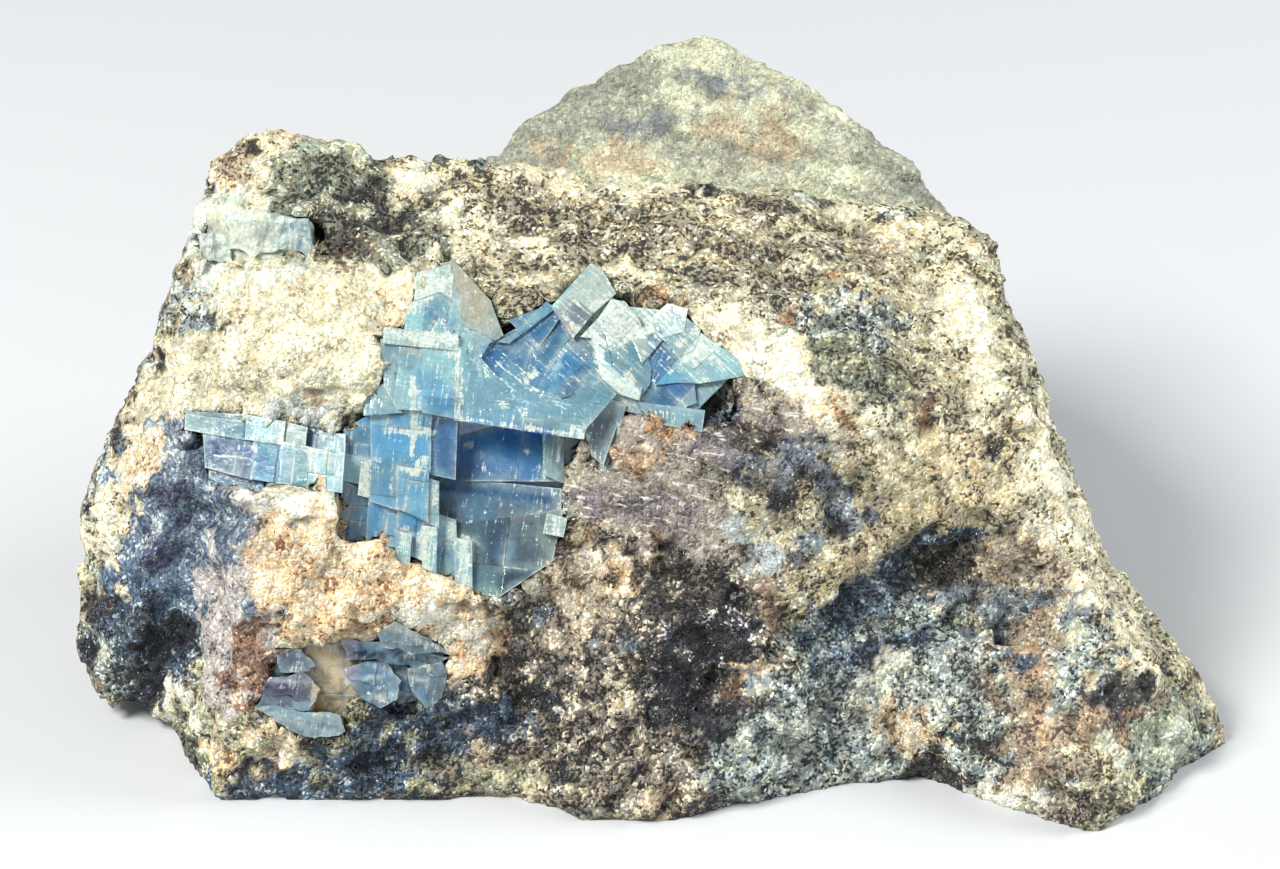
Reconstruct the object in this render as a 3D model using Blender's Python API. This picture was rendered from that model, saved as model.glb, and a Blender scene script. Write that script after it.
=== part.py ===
"""Hand specimen of blue calcite: a broken block of skarn rock with cleaved blue calcite grown in its front face.

Lengths in the tables are millimetres, and MM turns them into metres. The tables use the draft frame: x to the
right, y to the back, z up, with the rock's front foot near y = 0 and the ground at z = 0. At the end the whole
specimen is moved so that the origin lies under the middle of its bounding box.
"""

from dataclasses import dataclass
import math

import bmesh
import bpy
from mathutils import Matrix, Vector

MM = 0.001
GROUND_CUT = 12.0  # depth of the slab that cuts the rock's foot off flat
VOXEL = 0.9  # grain of the mesh in which the lumps become one body
ROCK_SHARE = 0.11  # share of that mesh's triangles that the rock keeps
FACE_RELIEF = 2.4  # height of the broad waves on the broken faces
KNOB_RELIEF = 1.2  # height of the knobs on the broken faces
FLAT_ANGLE = 0.3  # degrees between facets that count as one flat face
HAIR = 0.003  # how much wider each block of a growth is than the one before it
CLEARANCE = 0.3  # space between a crystal and the rock around it
REACH = 12.0  # how far in front of a crystal its pocket stays open
CLEAVAGE_CENTRE = (0, 22.9, 25)  # point that the crystal tables are measured from
CLEAVAGE_LEAN = 60  # degrees by which the crystals' main cleavage leans back from the ground
BOX_MIDDLE = (0.85, 31.4)  # middle of the finished bounding box in the draft frame

# The rock is a union of convex lumps. Each is given by the corners where its broken faces meet.
ROCK_LUMPS = {
    "core": [
        (-36, 6, -4), (-42, 16, -4), (-18, 5, -4), (-2, 0.6, -4), (4, 1, -4), (13, 2.6, -4), (35, 9, -4),
        (45, 22, -4), (42, 42, -4), (10, 62, -4), (-26, 53, -4), (-41, 32, -4), (-36, 12, 22), (-37, 27, 31),
        (-33, 17, 33.5), (-20, 14.5, 33.5), (0, 12, 29), (15, 12.5, 29), (-1, 17, 35), (15, 18, 34.8),
        (27, 18, 31.5), (-30, 39.5, 44.5), (-16, 40, 42.4), (0, 39, 41), (10, 39, 40.6), (20, 38, 39.2),
        (29, 36, 38.8), (-28, 49, 36), (22, 46, 34), (-38, 44, -4), (-36, 46, 24),
    ],
    "peak": [
        (-18, 50, -4), (-14, 44, -4), (32, 40, -4), (31, 52, -4), (12, 65, -4), (-10, 63, -4),
        (3.6, 56, 48.2), (-3.2, 54.5, 45), (-16.5, 48.5, 37.6), (11.8, 55, 46.2),
        (16, 53, 43.6), (21.6, 50, 40.4), (27.8, 44, 36), (31, 41, 33), (4, 43, 38.5), (8, 60, 40),
    ],
    "shoulder": [
        (-38.2, 36, 42.6), (-39.6, 33, 39.9), (-40, 30, 36.6), (-41.6, 28, 34.2), (-42.6, 26, 31.8),
        (-35.4, 38, 45.1), (-29.9, 40, 46), (-24, 40, 45.2), (-34, 17, 34), (-29, 15.5, 36), (-22, 15, 35),
        (-36, 46, 38), (-30, 49, 38), (-40, 20, 28), (-30, 20, 22), (-42, 34, 20), (-14, 20, 35.5),
        (-26, 24, 40), (-39, 43, 16),
    ],
    "left_lobe": [
        (-45.6, 23, 24.6), (-47.6, 22, 21.2), (-48.9, 21, 17.6), (-49.9, 20, 12), (-49.9, 19, 6.2),
        (-48.4, 17, 2.8), (-46.4, 16, 0.9), (-42.5, 14.5, 1.2), (-44, 12.5, 10), (-41, 13.5, 20),
        (-39, 15, 26), (-36, 20, 30), (-46, 35, 20), (-45, 36, 4), (-38, 44, 8), (-34, 18, 4),
        (-43, 27, 31), (-42, 40, 24),
    ],
    "buttress": [
        (-35.4, 2.9, -4), (-18.5, 3.6, -4), (-9, 2.6, -4), (-36, 3.4, 3), (-34.7, 5, 14), (-33.8, 7.6, 28.4),
        (-27, 8.2, 27.6), (-26.5, 7.8, 24.6), (-18.5, 7.4, 22.6), (-14, 7, 19.6), (-13, 6.2, 15.6),
        (-38.6, 11, 2), (-37.5, 14, 24), (-27, 19, 28), (-10, 18, 22), (-41.5, 15, -4), (-8, 16, -4),
        (-42, 15, 2),
    ],
    "foot": [
        (28, 2.6, -4), (38.4, -2, -4), (44.2, 3.6, -4), (52.3, 11.8, -4), (46, 34, -4), (24, 7, -4),
        (22, 24, -4), (38.8, -1.6, 2), (52.1, 12.2, 1), (40, 8, 14), (43.2, 6.8, 9.2), (47.6, 17, 5.5),
        (40, 22.6, 15.4), (24, 9, 12), (30, 24, 16),
    ],
    "right_flank": [
        (40, 8, 14), (37, 12.2, 21), (35, 16.8, 27.6), (32.5, 20, 31.8), (29.4, 34, 39.2), (40, 22.6, 15.2),
        (35.8, 27, 22.2), (33.9, 30, 29.4), (30.6, 34, 37.2), (26.5, 13, 21), (24, 14, 14), (22, 24, -4),
        (41, 30, -4), (24, 20, 32.6),
    ],
    "middle_knob": [
        (-6, 0.4, 0.8), (2, -0.6, 0.8), (8, 1.4, 3), (12, 6, 15), (2, 5.8, 17), (-7, 7, 14), (-12, 6.4, 8),
        (14, 4.8, 8), (-4, 12, 20), (8, 12, 20), (0, 10, -4), (-8, 8, -4), (10, 8, -4), (0, 0.2, -4),
    ],
}


@dataclass(frozen=True)
class Growth:
    """Crystals that grew side by side: how high they stand, how deep they root and how their tops lie.

    Across and up are measured along the cleavage, and heights stand out from it. Each block is its own
    height above the shared top, how much it tips across and up, and the corners of its outline.
    """

    middle: tuple
    height: float
    rise_across: float
    rise_up: float
    root: float
    blocks: list


BLUE_GROWTHS = {
    "left_bed": Growth((-32.1, -1.1), 7.2, 0.25, -0.1, 1, [
        (0, 0, 0, [(-38.2, 1.8), (-25.1, -0.1), (-25.3, -4.7), (-32, -4.5), (-36.8, -3.2)]),
    ]),
    "middle_bed": Growth((-20.4, -3), 7.1, -0.02, 0, 1, [
        (0, 0, 0, [(-25.2, 0.2), (-23, 3), (-21.5, 7.4), (-15, 7.6), (-13, 6.2), (-7.5, 3.2), (-4.6, 1),
                   (-6.6, -4), (-6.8, -8.2), (-7.8, -10.6), (-12, -13.2), (-15.4, -12.4), (-17.3, -11.4),
                   (-23, -9), (-25.5, -8.6)]),
    ]),
    "right_bed": Growth((-7.2, 7.2), 7.3, 0, -0.5, 1, [
        (0, 0, 0, [(-13.6, 6.4), (-12, 7.8), (-7.9, 10.7), (-4.2, 14), (-2.6, 12), (-1.5, 11), (2.3, 10.6),
                   (6.2, 7.4), (8.2, 5.4), (5, 2.2), (1.4, 1.4), (-1.5, 2), (-3.1, -2.6), (-4.1, -1.8),
                   (-5, 1.6), (-8.2, 3.2), (-12, 4.6)]),
    ]),
    "left_bars": Growth((-32.1, -1.1), 9.0, 0.25, -0.1, 2, [
        (0.5, 0, 0, [(-38.8, 2), (-33.4, 1.7), (-33.5, -0.5), (-38.9, 0.4)]),
        (0.9, 0, 0, [(-33.5, 1.7), (-30.1, 1.1), (-30.3, -0.9), (-33.6, -0.4)]),
        (0.6, 0, 0, [(-30.2, 1.1), (-28.2, 0.6), (-28.4, -1.2), (-30.3, -0.8)]),
        (-0.3, 0, 0, [(-28.3, 0.6), (-26.9, 0.3), (-27.1, -1.4), (-28.4, -1.1)]),
        (0.1, 0, 0, [(-27, 0.2), (-25, 0), (-25, -1.7), (-27.2, -1.3)]),
        (0.3, 0, 0, [(-37.3, 0.2), (-32.9, -0.3), (-33, -3.9), (-37.1, -2.8)]),
        (0.6, 0, 0, [(-32.8, -0.2), (-30.2, -0.7), (-30.5, -4.2), (-33, -3.8)]),
        (0.9, 0, 0, [(-30.4, -0.6), (-27.8, -1.1), (-28, -4.5), (-30.6, -4.1)]),
        (1.2, 0, 0, [(-27.9, -1.1), (-25, -1.7), (-25.2, -4.9), (-28.2, -4.5)]),
        (-0.5, 0, 0, [(-36.8, -2.8), (-32.1, -4), (-32.1, -5.1), (-35, -4.6), (-36.8, -3.7)]),
    ]),
    "columns": Growth((-20.4, -3), 10.3, -0.02, 0, 2, [
        (-0.7, 0, 0, [(-25.2, 0.4), (-22.6, 1.9), (-22.6, -2.6), (-25.1, -1.8)]),
        (-0.4, 0, 0, [(-25.1, -1.6), (-22.7, -2.2), (-22.9, -4.4), (-25.2, -3.9)]),
        (0.6, 0, 0, [(-23.6, -2.3), (-22.6, -2.5), (-22.8, -5.4), (-23.9, -5.1)]),
        (0.5, 0, 0, [(-22.8, 2.1), (-17.7, 2.2), (-17.8, -3.2), (-22.8, -2.6)]),
        (0.2, 0, 0, [(-17.9, 2.2), (-15.5, 1.6), (-15.7, -3.8), (-18.1, -3.3)]),
        (0.8, 0, 0, [(-22.8, -2.3), (-20.4, -2.8), (-20.5, -6.4), (-22.9, -5.6)]),
        (1.0, 0, 0, [(-20.5, -2.7), (-17.9, -3.1), (-18, -7.4), (-20.6, -6.2)]),
        (-1.1, 0, 0, [(-25.3, -4), (-22.7, -4.9), (-23.1, -9.2), (-25.6, -8.8)]),
        (-0.1, 0, 0, [(-23, -5.3), (-20.4, -6), (-20.5, -9.6), (-23.2, -9.1)]),
        (0.3, 0, 0, [(-20.5, -6.1), (-17.8, -6.7), (-18.1, -10.8), (-20.5, -9.8)]),
        (0.9, 0, 0, [(-20.7, -8.1), (-19.4, -8.6), (-19.6, -11.2), (-20.6, -10.5)]),
        (0.9, 0, 0, [(-18.3, -7.8), (-17.2, -7.9), (-17.3, -11.7), (-18.4, -11.3)]),
        (0.7, 0, 0, [(-18.1, -3.7), (-17.1, -4), (-17.1, -7.8), (-18.1, -7.4)]),
        (-0.2, 0, 0, [(-17.8, -6.6), (-15.7, -7.3), (-15.4, -12.2), (-17.8, -11.7)]),
        (0.5, 0, 0, [(-15.7, -8.8), (-14.3, -9.1), (-14.3, -12.9), (-15.6, -12.4)]),
    ]),
    "upper_columns": Growth((-18.3, 5.1), 10.9, -0.1, -0.12, 2, [
        (0.3, 0, 0, [(-21.9, 8), (-18.2, 7.9), (-18.3, 2.1), (-20.5, 2.2), (-21.6, 4.1)]),
        (0.8, 0, 0, [(-18.3, 7.9), (-15.5, 7.3), (-15.5, 1.4), (-18.3, 1.9)]),
        (1.1, 0, 0, [(-15.6, 7.5), (-14.3, 7), (-14.3, 1.2), (-15.6, 1.4)]),
        (-0.1, 0, 0, [(-23.3, 2.8), (-21.1, 4.8), (-20.2, 1.9), (-23.3, 1.7)]),
        (1.2, 0, 0, [(-21.6, 9), (-15.5, 8.4), (-15.5, 7.2), (-21.7, 7.8)]),
    ]),
    "ledge": Growth((-10.2, 2.9), 12.2, 0.05, -0.1, 2, [
        (0.0, 0, 0, [(-14.5, 7.2), (-13.6, 6.5), (-12.1, 4.8), (-7.5, 3.4), (-5.2, 2.1), (-4.5, 1),
                     (-4.8, -0.3), (-15.6, 1.3), (-15.5, 2.5)]),
        (0.5, 0, 0, [(-9.8, 1.3), (-8.1, 1.2), (-4.8, 0.6), (-4.8, -0.3), (-9.9, 0.4)]),
    ]),
    "hollow": Growth((-11.9, -5.6), 9.0, 0, -0.12, 2, [
        (-0.9, 0.05, -0.16, [(-16, 1.7), (-6.8, 0.4), (-6.8, -3.9), (-16, -3.9)]),
        (-0.5, 0.04, -0.1, [(-17.3, -3.7), (-6.8, -4.7), (-6.8, -8.5), (-17.3, -8.3)]),
        (0.2, 0.02, -0.06, [(-16.1, -7.9), (-6.6, -6.4), (-7.5, -10.7), (-11.9, -13.7), (-15.1, -13.2)]),
        (0.5, 0, 0, [(-8.2, 0.4), (-6.6, 0), (-6.6, -4), (-8.1, -3.4)]),
        (1.2, 0, 0, [(-7.8, -6.8), (-6.3, -7.2), (-6.6, -8.6), (-8.1, -8.3)]),
    ]),
    "upper_crystal": Growth((-17, 10.6), 7.6, -0.15, -0.6, 0, [
        (0.0, 0, 0, [(-20, 8.2), (-19.7, 10.9), (-18.4, 12.4), (-16.4, 12.8), (-15.3, 11.2), (-14.6, 9.2),
                     (-15.1, 7.7)]),
        (0.7, 0, 0, [(-17.1, 9.9), (-16, 8.9), (-16.4, 8), (-17.8, 8.5)]),
        (0.9, 0, 0, [(-14.8, 8.9), (-12.7, 8.1), (-13.8, 6.3), (-15.5, 7.6)]),
        (0.3, 0, 0, [(-19, 13.8), (-16.4, 14.5), (-15.4, 11.2), (-17, 12.3), (-19.2, 11.6)]),
        (0.1, 0, 0, [(-17, 14.6), (-16, 14.8), (-12.9, 11.4), (-11.8, 8.5), (-12.7, 7.9), (-14.9, 9.4),
                     (-15.6, 11.4)]),
    ]),
    "fan": Growth((-7.2, 7.2), 8.9, 0, -0.5, 2, [
        (-0.5, 0.16, -0.1, [(-13.8, 6.5), (-12.2, 8), (-9.3, 9.6), (-7.8, 10.9), (-6.8, 10.1), (-9, 7),
                            (-9.3, 3.8), (-12.1, 4.7)]),
        (-0.2, -0.1, -0.3, [(-9.2, 7.2), (-7, 10.4), (-5.9, 8.4), (-6.8, 6.8), (-8.7, 3.7), (-9.6, 3.9)]),
        (0.5, 0, 0, [(-12.1, 7.9), (-10.7, 8.5), (-8, 11.2), (-7.4, 10.8), (-9.2, 9.4), (-11.2, 7.9)]),
        (0.1, -0.12, -0.36, [(-8.7, 3.8), (-6.8, 7), (-5.5, 8.4), (-4.1, 8.5), (-3.4, 6.8), (-6.1, 3.3),
                             (-7.5, 3.1)]),
        (0.3, -0.1, -0.2, [(-6.6, 2.8), (-3.4, 7), (-2.9, 5), (-1.7, 3.9), (-4.6, 0.6), (-5.4, 1.9)]),
        (0.7, 0, -0.15, [(-7.4, 10.9), (-4.2, 14.5), (-3.4, 14.1), (-2.2, 12.1), (-4.1, 10.4), (-5.7, 8.4)]),
        (1.0, 0.05, -0.1, [(-6.6, 9.9), (-5.3, 11.2), (-4.2, 10.4), (-5.7, 8.7)]),
        (-0.3, 0, 0, [(-11, 9.7), (-8.7, 10.7), (-10, 8.7)]),
    ]),
    "steps": Growth((0.4, 6.75), 9.0, 0.05, -0.45, 2, [
        (0.9, -0.05, 0.05, [(-4.9, 8.4), (-3.4, 9.9), (-2.4, 11.4), (-1.4, 11.2), (-0.3, 9.9), (0.2, 8.7),
                            (-2.4, 7.2), (-3.4, 7), (-4.1, 8.4)]),
        (0.5, -0.06, 0.1, [(-4.1, 8.5), (-2.4, 7.5), (-0.3, 8.7), (0.8, 5.6), (0.7, 4.3), (-0.2, 3.1),
                           (-1.5, 3.4), (-2.9, 5), (-3.4, 7)]),
        (1.1, 0, 0.1, [(-4.2, 8.9), (-3.2, 8.5), (-2.5, 5.8), (0, 3.9), (-0.2, 3.1), (-1.7, 3.6),
                       (-3.1, 4.8), (-3.6, 7)]),
        (0.9, -0.05, 0, [(-0.7, 8.5), (1.4, 9.6), (2, 8.4), (0.2, 6.3)]),
        (-0.1, 0.1, 0.1, [(0, 6.5), (1.4, 8.5), (3.6, 6.5), (1.4, 3.9), (0.7, 5)]),
        (1.3, -0.05, 0, [(1.1, 9.9), (2.4, 11), (3.9, 10.6), (3.6, 8.9), (2, 8.4)]),
        (0.9, -0.05, 0, [(1.9, 8.4), (3.7, 9.9), (5, 8.9), (4.4, 7.3), (3.4, 6.8)]),
        (0.6, -0.05, 0, [(3.1, 7), (5.1, 8.5), (6.5, 7.5), (4.6, 5.8), (3.6, 6.2)]),
        (0.3, -0.05, 0.1, [(1.5, 4.3), (3.6, 6.5), (6.5, 7.5), (8.2, 6.3), (8.6, 5.1), (5.1, 4.5),
                           (3.2, 4.6)]),
        (-0.6, 0.05, 0.2, [(-0.2, 3.1), (1.4, 4.5), (4.4, 5), (4.6, 2.8), (2, 1.7), (0.1, 2.2)]),
        (-0.3, 0, 0.3, [(0.1, 2.6), (5.3, 1.9), (5.1, 0.4), (1, 1.2)]),
        (-1.4, 0.1, 0.3, [(-4.6, 0.6), (-2.5, 2.9), (-1.4, 2.4), (-2, -0.1), (-3.1, -3), (-4.2, -2)]),
    ]),
}

SLATE_GROWTHS = {
    "bed": Growth((-24.7, -20.9), 7.0, -0.08, 0.28, 2, [
        (0, 0, 0, [(-31.2, -18.6), (-28.8, -18), (-22, -17.6), (-20.8, -16.4), (-16.6, -18.4), (-17, -20.8),
                   (-18.4, -23), (-25, -22.8), (-25.3, -25), (-28.8, -25.2), (-32.2, -22.8), (-31.4, -20.8)]),
    ]),
    "plates": Growth((-24.7, -20.9), 8.4, -0.08, 0.28, 3, [
        (0.5, 0.1, -0.1, [(-32.6, -22.9), (-31.3, -20.8), (-28.8, -20.2), (-27.2, -21.6), (-28.2, -23.6),
                          (-31.1, -23.1)]),
        (0.9, 0, 0.2, [(-32.7, -23), (-31.3, -22.9), (-28.5, -23.7), (-25.5, -23.9), (-25.1, -25.3),
                       (-26.4, -25.8), (-28.9, -25.6), (-31.1, -24.6)]),
        (0.2, 0, 0, [(-31, -18.2), (-28.9, -18.2), (-27.7, -19.5), (-28.3, -20.2), (-30.6, -20.2)]),
        (0.8, -0.1, 0.2, [(-22.1, -17), (-20.9, -15.8), (-19.4, -16.6), (-17, -17.9), (-16.2, -18.8),
                          (-19.6, -18.6), (-21.8, -18)]),
        (-0.4, 0, 0, [(-25.4, -17.5), (-22.1, -17.7), (-19.6, -18.4), (-16.2, -19.2), (-17.9, -19.9),
                      (-20.9, -19.6), (-24.7, -19.2)]),
        (0.6, 0.1, 0, [(-25.4, -19.7), (-21.7, -19.5), (-20.4, -20.9), (-20.8, -22.6), (-22.1, -23.3),
                       (-23.7, -22.6), (-24.7, -21.2)]),
        (0.4, -0.1, 0, [(-20, -19.9), (-17, -19.5), (-16.4, -20.5), (-17, -22.6), (-18.3, -23.3),
                        (-19.6, -21.9)]),
    ]),
}

PALE_GROWTHS = {
    "bed": Growth((-31.9, 17.2), 2.1, 0.2, -0.75, -4, [
        (0, 0, 0, [(-37.6, 19.2), (-35.4, 20), (-32.4, 19), (-28.6, 18.6), (-28, 15), (-29.4, 15.6),
                   (-32.6, 15), (-35.6, 15), (-37.4, 15.8)]),
    ]),
    "patch": Growth((-31.9, 17.2), 3.3, 0.2, -0.75, -3, [
        (0.4, 0, 0.1, [(-35.7, 19.1), (-32.6, 19.3), (-30.8, 18.9), (-31, 16.2), (-33.6, 15.4),
                       (-35.6, 16.2)]),
        (0.7, 0.1, -0.1, [(-31, 18.9), (-28.6, 18.7), (-28.2, 16.4), (-27.9, 14.8), (-29.3, 15.7),
                          (-31, 16.2)]),
        (0.2, 0, 0, [(-38, 17.4), (-35.6, 17.2), (-35.4, 15), (-37.6, 15.2)]),
    ]),
}


GROWTHS = {"blue_calcite": BLUE_GROWTHS, "slate_calcite": SLATE_GROWTHS, "pale_calcite": PALE_GROWTHS}
SURFACES = {
    "blue_calcite": ((0.28, 0.47, 0.58), 0.25),
    "slate_calcite": ((0.3, 0.38, 0.42), 0.35),
    "pale_calcite": ((0.6, 0.66, 0.62), 0.4),
}


def corner(x, y, z):
    """A point of the rock's tables as a position in metres."""
    return Vector((x, y, z)) * MM


def cleavage_frame():
    """Turns across, up and height, in metres, into a position in the draft frame."""
    return Matrix.Translation(corner(*CLEAVAGE_CENTRE)) @ Matrix.Rotation(math.radians(CLEAVAGE_LEAN), 4, "X")


def material(name, color, roughness):
    """A plain surface of the given colour."""
    made = bpy.data.materials.new(name)
    made.use_nodes = True
    shader = made.node_tree.nodes["Principled BSDF"]
    shader.inputs["Base Color"].default_value = (*color, 1)
    shader.inputs["Roughness"].default_value = roughness
    made.diffuse_color = (*color, 1)
    return made


def add_object(name, shape, surface=None):
    """Turns a bmesh into a named object in the scene."""
    mesh = bpy.data.meshes.new(name)
    shape.to_mesh(mesh)
    shape.free()
    made = bpy.data.objects.new(name, mesh)
    bpy.context.scene.collection.objects.link(made)
    if surface:
        mesh.materials.append(surface)
    return made


def add_hull(shape, corners):
    """Adds the convex body around some corners to a bmesh."""
    verts = [shape.verts.new(corner(*c)) for c in corners]
    hull = bmesh.ops.convex_hull(shape, input=verts)
    inside = [v for v in hull["geom_interior"] if isinstance(v, bmesh.types.BMVert)]
    bmesh.ops.delete(shape, geom=inside, context="VERTS")


def as_cutter(obj):
    """Keeps a helper out of the finished model."""
    obj.hide_render = True
    obj.display_type = "WIRE"
    return obj


def boolean(obj, name, operation, others):
    """Joins closed bodies to an object, or takes them away."""
    bodies = bpy.data.collections.new(name)
    for other in others:
        bodies.objects.link(other)
    modifier = obj.modifiers.new(name, "BOOLEAN")
    modifier.operation = operation
    modifier.solver = "EXACT"
    modifier.operand_type = "COLLECTION"
    modifier.collection = bodies


def merge_flat_faces(obj):
    """Joins neighbouring facets that lie in one plane."""
    modifier = obj.modifiers.new("flat_faces", "DECIMATE")
    modifier.decimate_type = "DISSOLVE"
    modifier.angle_limit = math.radians(FLAT_ANGLE)


def roughen(obj, name, size, height):
    """Moves the surface along its normals by up to half of height either way, in waves of about this size."""
    texture = bpy.data.textures.new(name, "CLOUDS")
    texture.noise_scale = size * MM
    modifier = obj.modifiers.new(name, "DISPLACE")
    modifier.texture = texture
    modifier.strength = height * MM
    modifier.mid_level = 0.5


def widen(outline, distance):
    """Moves every side of an outline outward by a distance, with mitred corners."""
    points = [Vector(p) for p in outline]
    area = sum(p.cross(q) for p, q in zip(points, points[1:] + points[:1]))
    outward = math.copysign(distance, area)
    moved = []
    for before, here, after in zip(points[-1:] + points[:-1], points, points[1:] + points[:1]):
        side_in = (here - before).normalized()
        side_out = (after - here).normalized()
        normal_in = Vector((side_in.y, -side_in.x))
        normal_out = Vector((side_out.y, -side_out.x))
        mitre = (normal_in + normal_out) / max(1 + normal_in.dot(normal_out), 0.5)
        moved.append(here + mitre * outward)
    return moved


def block_body(name, growth, block, clearance=0.0, reach=0.0):
    """One cleavage block of a growth, or the hole it needs in the rock, standing in the draft frame."""
    lift, tip_across, tip_up, outline = block
    middle = sum((Vector(p) for p in outline), Vector((0, 0))) / len(outline)
    shape = bmesh.new()
    verts = [shape.verts.new(corner(p.x, p.y, growth.root - clearance)) for p in widen(outline, clearance)]
    base = shape.faces.new(verts)
    sides = bmesh.ops.extrude_face_region(shape, geom=[base])
    for vert in [v for v in sides["geom"] if isinstance(v, bmesh.types.BMVert)]:
        across = vert.co.x / MM
        up = vert.co.y / MM
        top = growth.height + growth.rise_across * (across - growth.middle[0])
        top += growth.rise_up * (up - growth.middle[1]) + lift
        top += tip_across * (across - middle.x) + tip_up * (up - middle.y)
        vert.co.z = (top + reach) * MM
    bmesh.ops.recalc_face_normals(shape, faces=shape.faces)
    bmesh.ops.transform(shape, matrix=cleavage_frame(), verts=shape.verts)
    return add_object(name, shape)


def growth_bodies(name, growths, clearance=0.0, reach=0.0):
    """All the blocks of several growths, each a hair wider than the last so that no two sides share a plane."""
    blocks = [(growth, block) for growth in growths.values() for block in growth.blocks]
    return [
        as_cutter(block_body(name, growth, block, clearance + HAIR * number, reach))
        for number, (growth, block) in enumerate(blocks)
    ]


def build_crystals(name, growths, surface):
    """Grows one solid body of calcite from its blocks."""
    bed, *others = growths.items()
    crystals = block_body(name, bed[1], bed[1].blocks[0])
    crystals.data.materials.append(surface)
    boolean(crystals, name + "_blocks", "UNION", growth_bodies(name + "_block", dict(others)))
    merge_flat_faces(crystals)
    return crystals


def build_rock():
    """Builds the broken block of skarn with its flat foot."""
    shape = bmesh.new()
    for corners in ROCK_LUMPS.values():
        add_hull(shape, corners)
    bmesh.ops.recalc_face_normals(shape, faces=shape.faces)
    rock = add_object("matrix_rock", shape, material("skarn", (0.36, 0.33, 0.27), 0.85))
    remesh = rock.modifiers.new("one_body", "REMESH")
    remesh.mode = "VOXEL"
    remesh.voxel_size = VOXEL * MM
    roughen(rock, "broken_faces", 9.0, FACE_RELIEF)
    roughen(rock, "knobs", 3.2, KNOB_RELIEF)
    thin = rock.modifiers.new("fewer_facets", "DECIMATE")
    thin.ratio = ROCK_SHARE
    cutters = [ground_cutter()]
    for name, growths in GROWTHS.items():
        cutters += growth_bodies(name + "_pocket", growths, CLEARANCE, REACH)
    boolean(rock, "flat_foot_and_pockets", "DIFFERENCE", cutters)
    merge_flat_faces(rock)
    return rock


def ground_cutter():
    """The slab that cuts the rock's foot off flat."""
    ground = bmesh.new()
    bmesh.ops.create_cube(ground, size=1)
    bmesh.ops.scale(ground, vec=(0.2, 0.2, GROUND_CUT * MM), verts=ground.verts)
    bmesh.ops.translate(ground, vec=(0, 0.03, -GROUND_CUT / 2 * MM), verts=ground.verts)
    return as_cutter(add_object("ground_cutter", ground))


def move_to_origin():
    """Hangs everything on one empty that puts the origin under the middle of the bounding box."""
    specimen = bpy.data.objects.new("specimen", None)
    specimen.location = corner(-BOX_MIDDLE[0], -BOX_MIDDLE[1], 0)
    for obj in list(bpy.context.scene.collection.objects):
        obj.parent = specimen
    bpy.context.scene.collection.objects.link(specimen)


def main():
    """Builds the rock and the three bodies of calcite in it."""
    for obj in list(bpy.data.objects):
        bpy.data.objects.remove(obj)
    build_rock()
    for name, growths in GROWTHS.items():
        build_crystals(name, growths, material(name, *SURFACES[name]))
    move_to_origin()


main()
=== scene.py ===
"""Looks of the blue calcite hand specimen: grains on the rock, cleaved calcite in its face, a plain studio.

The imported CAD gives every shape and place. Each body of the specimen is a class that copies its CAD node,
gives it its fine relief and paints its minerals, and each finish is a small class that builds a procedural
material. Places on the display face are millimetres across and up on the plane that faces the viewer.
"""

import logging
import math
from collections.abc import Iterable
from dataclasses import dataclass, field
from enum import Enum

import bmesh
import bpy
import numpy as np
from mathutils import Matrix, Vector, noise
from mathutils.bvhtree import BVHTree
from mathutils.kdtree import KDTree


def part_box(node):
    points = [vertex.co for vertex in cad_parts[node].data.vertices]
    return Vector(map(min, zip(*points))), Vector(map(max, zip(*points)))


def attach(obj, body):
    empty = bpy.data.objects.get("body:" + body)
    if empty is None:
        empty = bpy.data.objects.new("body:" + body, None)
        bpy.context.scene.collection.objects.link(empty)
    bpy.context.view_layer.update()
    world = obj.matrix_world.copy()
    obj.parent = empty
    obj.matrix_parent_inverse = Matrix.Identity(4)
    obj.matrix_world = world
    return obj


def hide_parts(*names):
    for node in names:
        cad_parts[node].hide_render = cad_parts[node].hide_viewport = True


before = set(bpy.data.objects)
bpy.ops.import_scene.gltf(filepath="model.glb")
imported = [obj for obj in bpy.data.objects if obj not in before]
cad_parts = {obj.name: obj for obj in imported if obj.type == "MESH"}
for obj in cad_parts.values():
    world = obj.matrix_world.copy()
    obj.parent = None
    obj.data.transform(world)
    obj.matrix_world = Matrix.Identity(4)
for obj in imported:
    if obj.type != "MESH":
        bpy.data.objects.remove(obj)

Array = np.ndarray
Mesh = bpy.types.Mesh
Piece = bpy.types.Object
Shape = bmesh.types.BMesh
Faces = list[bmesh.types.BMFace]
Node = bpy.types.Node
Socket = bpy.types.NodeSocket
Value = float | tuple | Socket

MM = 0.001
MERGE = 0.005 * MM
SEED = 7
LOG = logging.getLogger("blue_calcite_specimen")


def tone(code: str) -> tuple[float, float, float]:
    """Turns a screen colour such as "7fa3b5" into linear red, green and blue."""
    parts = [int(code[i : i + 2], 16) / 255 for i in (0, 2, 4)]
    return tuple(p / 12.92 if p <= 0.04045 else ((p + 0.055) / 1.055) ** 2.4 for p in parts)


def smooth(values: Array, low: float, high: float) -> Array:
    """Rises smoothly from 0 at low to 1 at high, or falls where low is above high."""
    share = np.clip((values - low) / (high - low), 0.0, 1.0)
    return share * share * (3.0 - 2.0 * share)


def listed(kind: type, *runs: tuple) -> list:
    """Makes one item of a kind for each row of numbers that follows its mineral or tint."""
    return [kind(name, *row) for name, *rows in runs for row in rows]


# ---- Minerals ----


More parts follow.
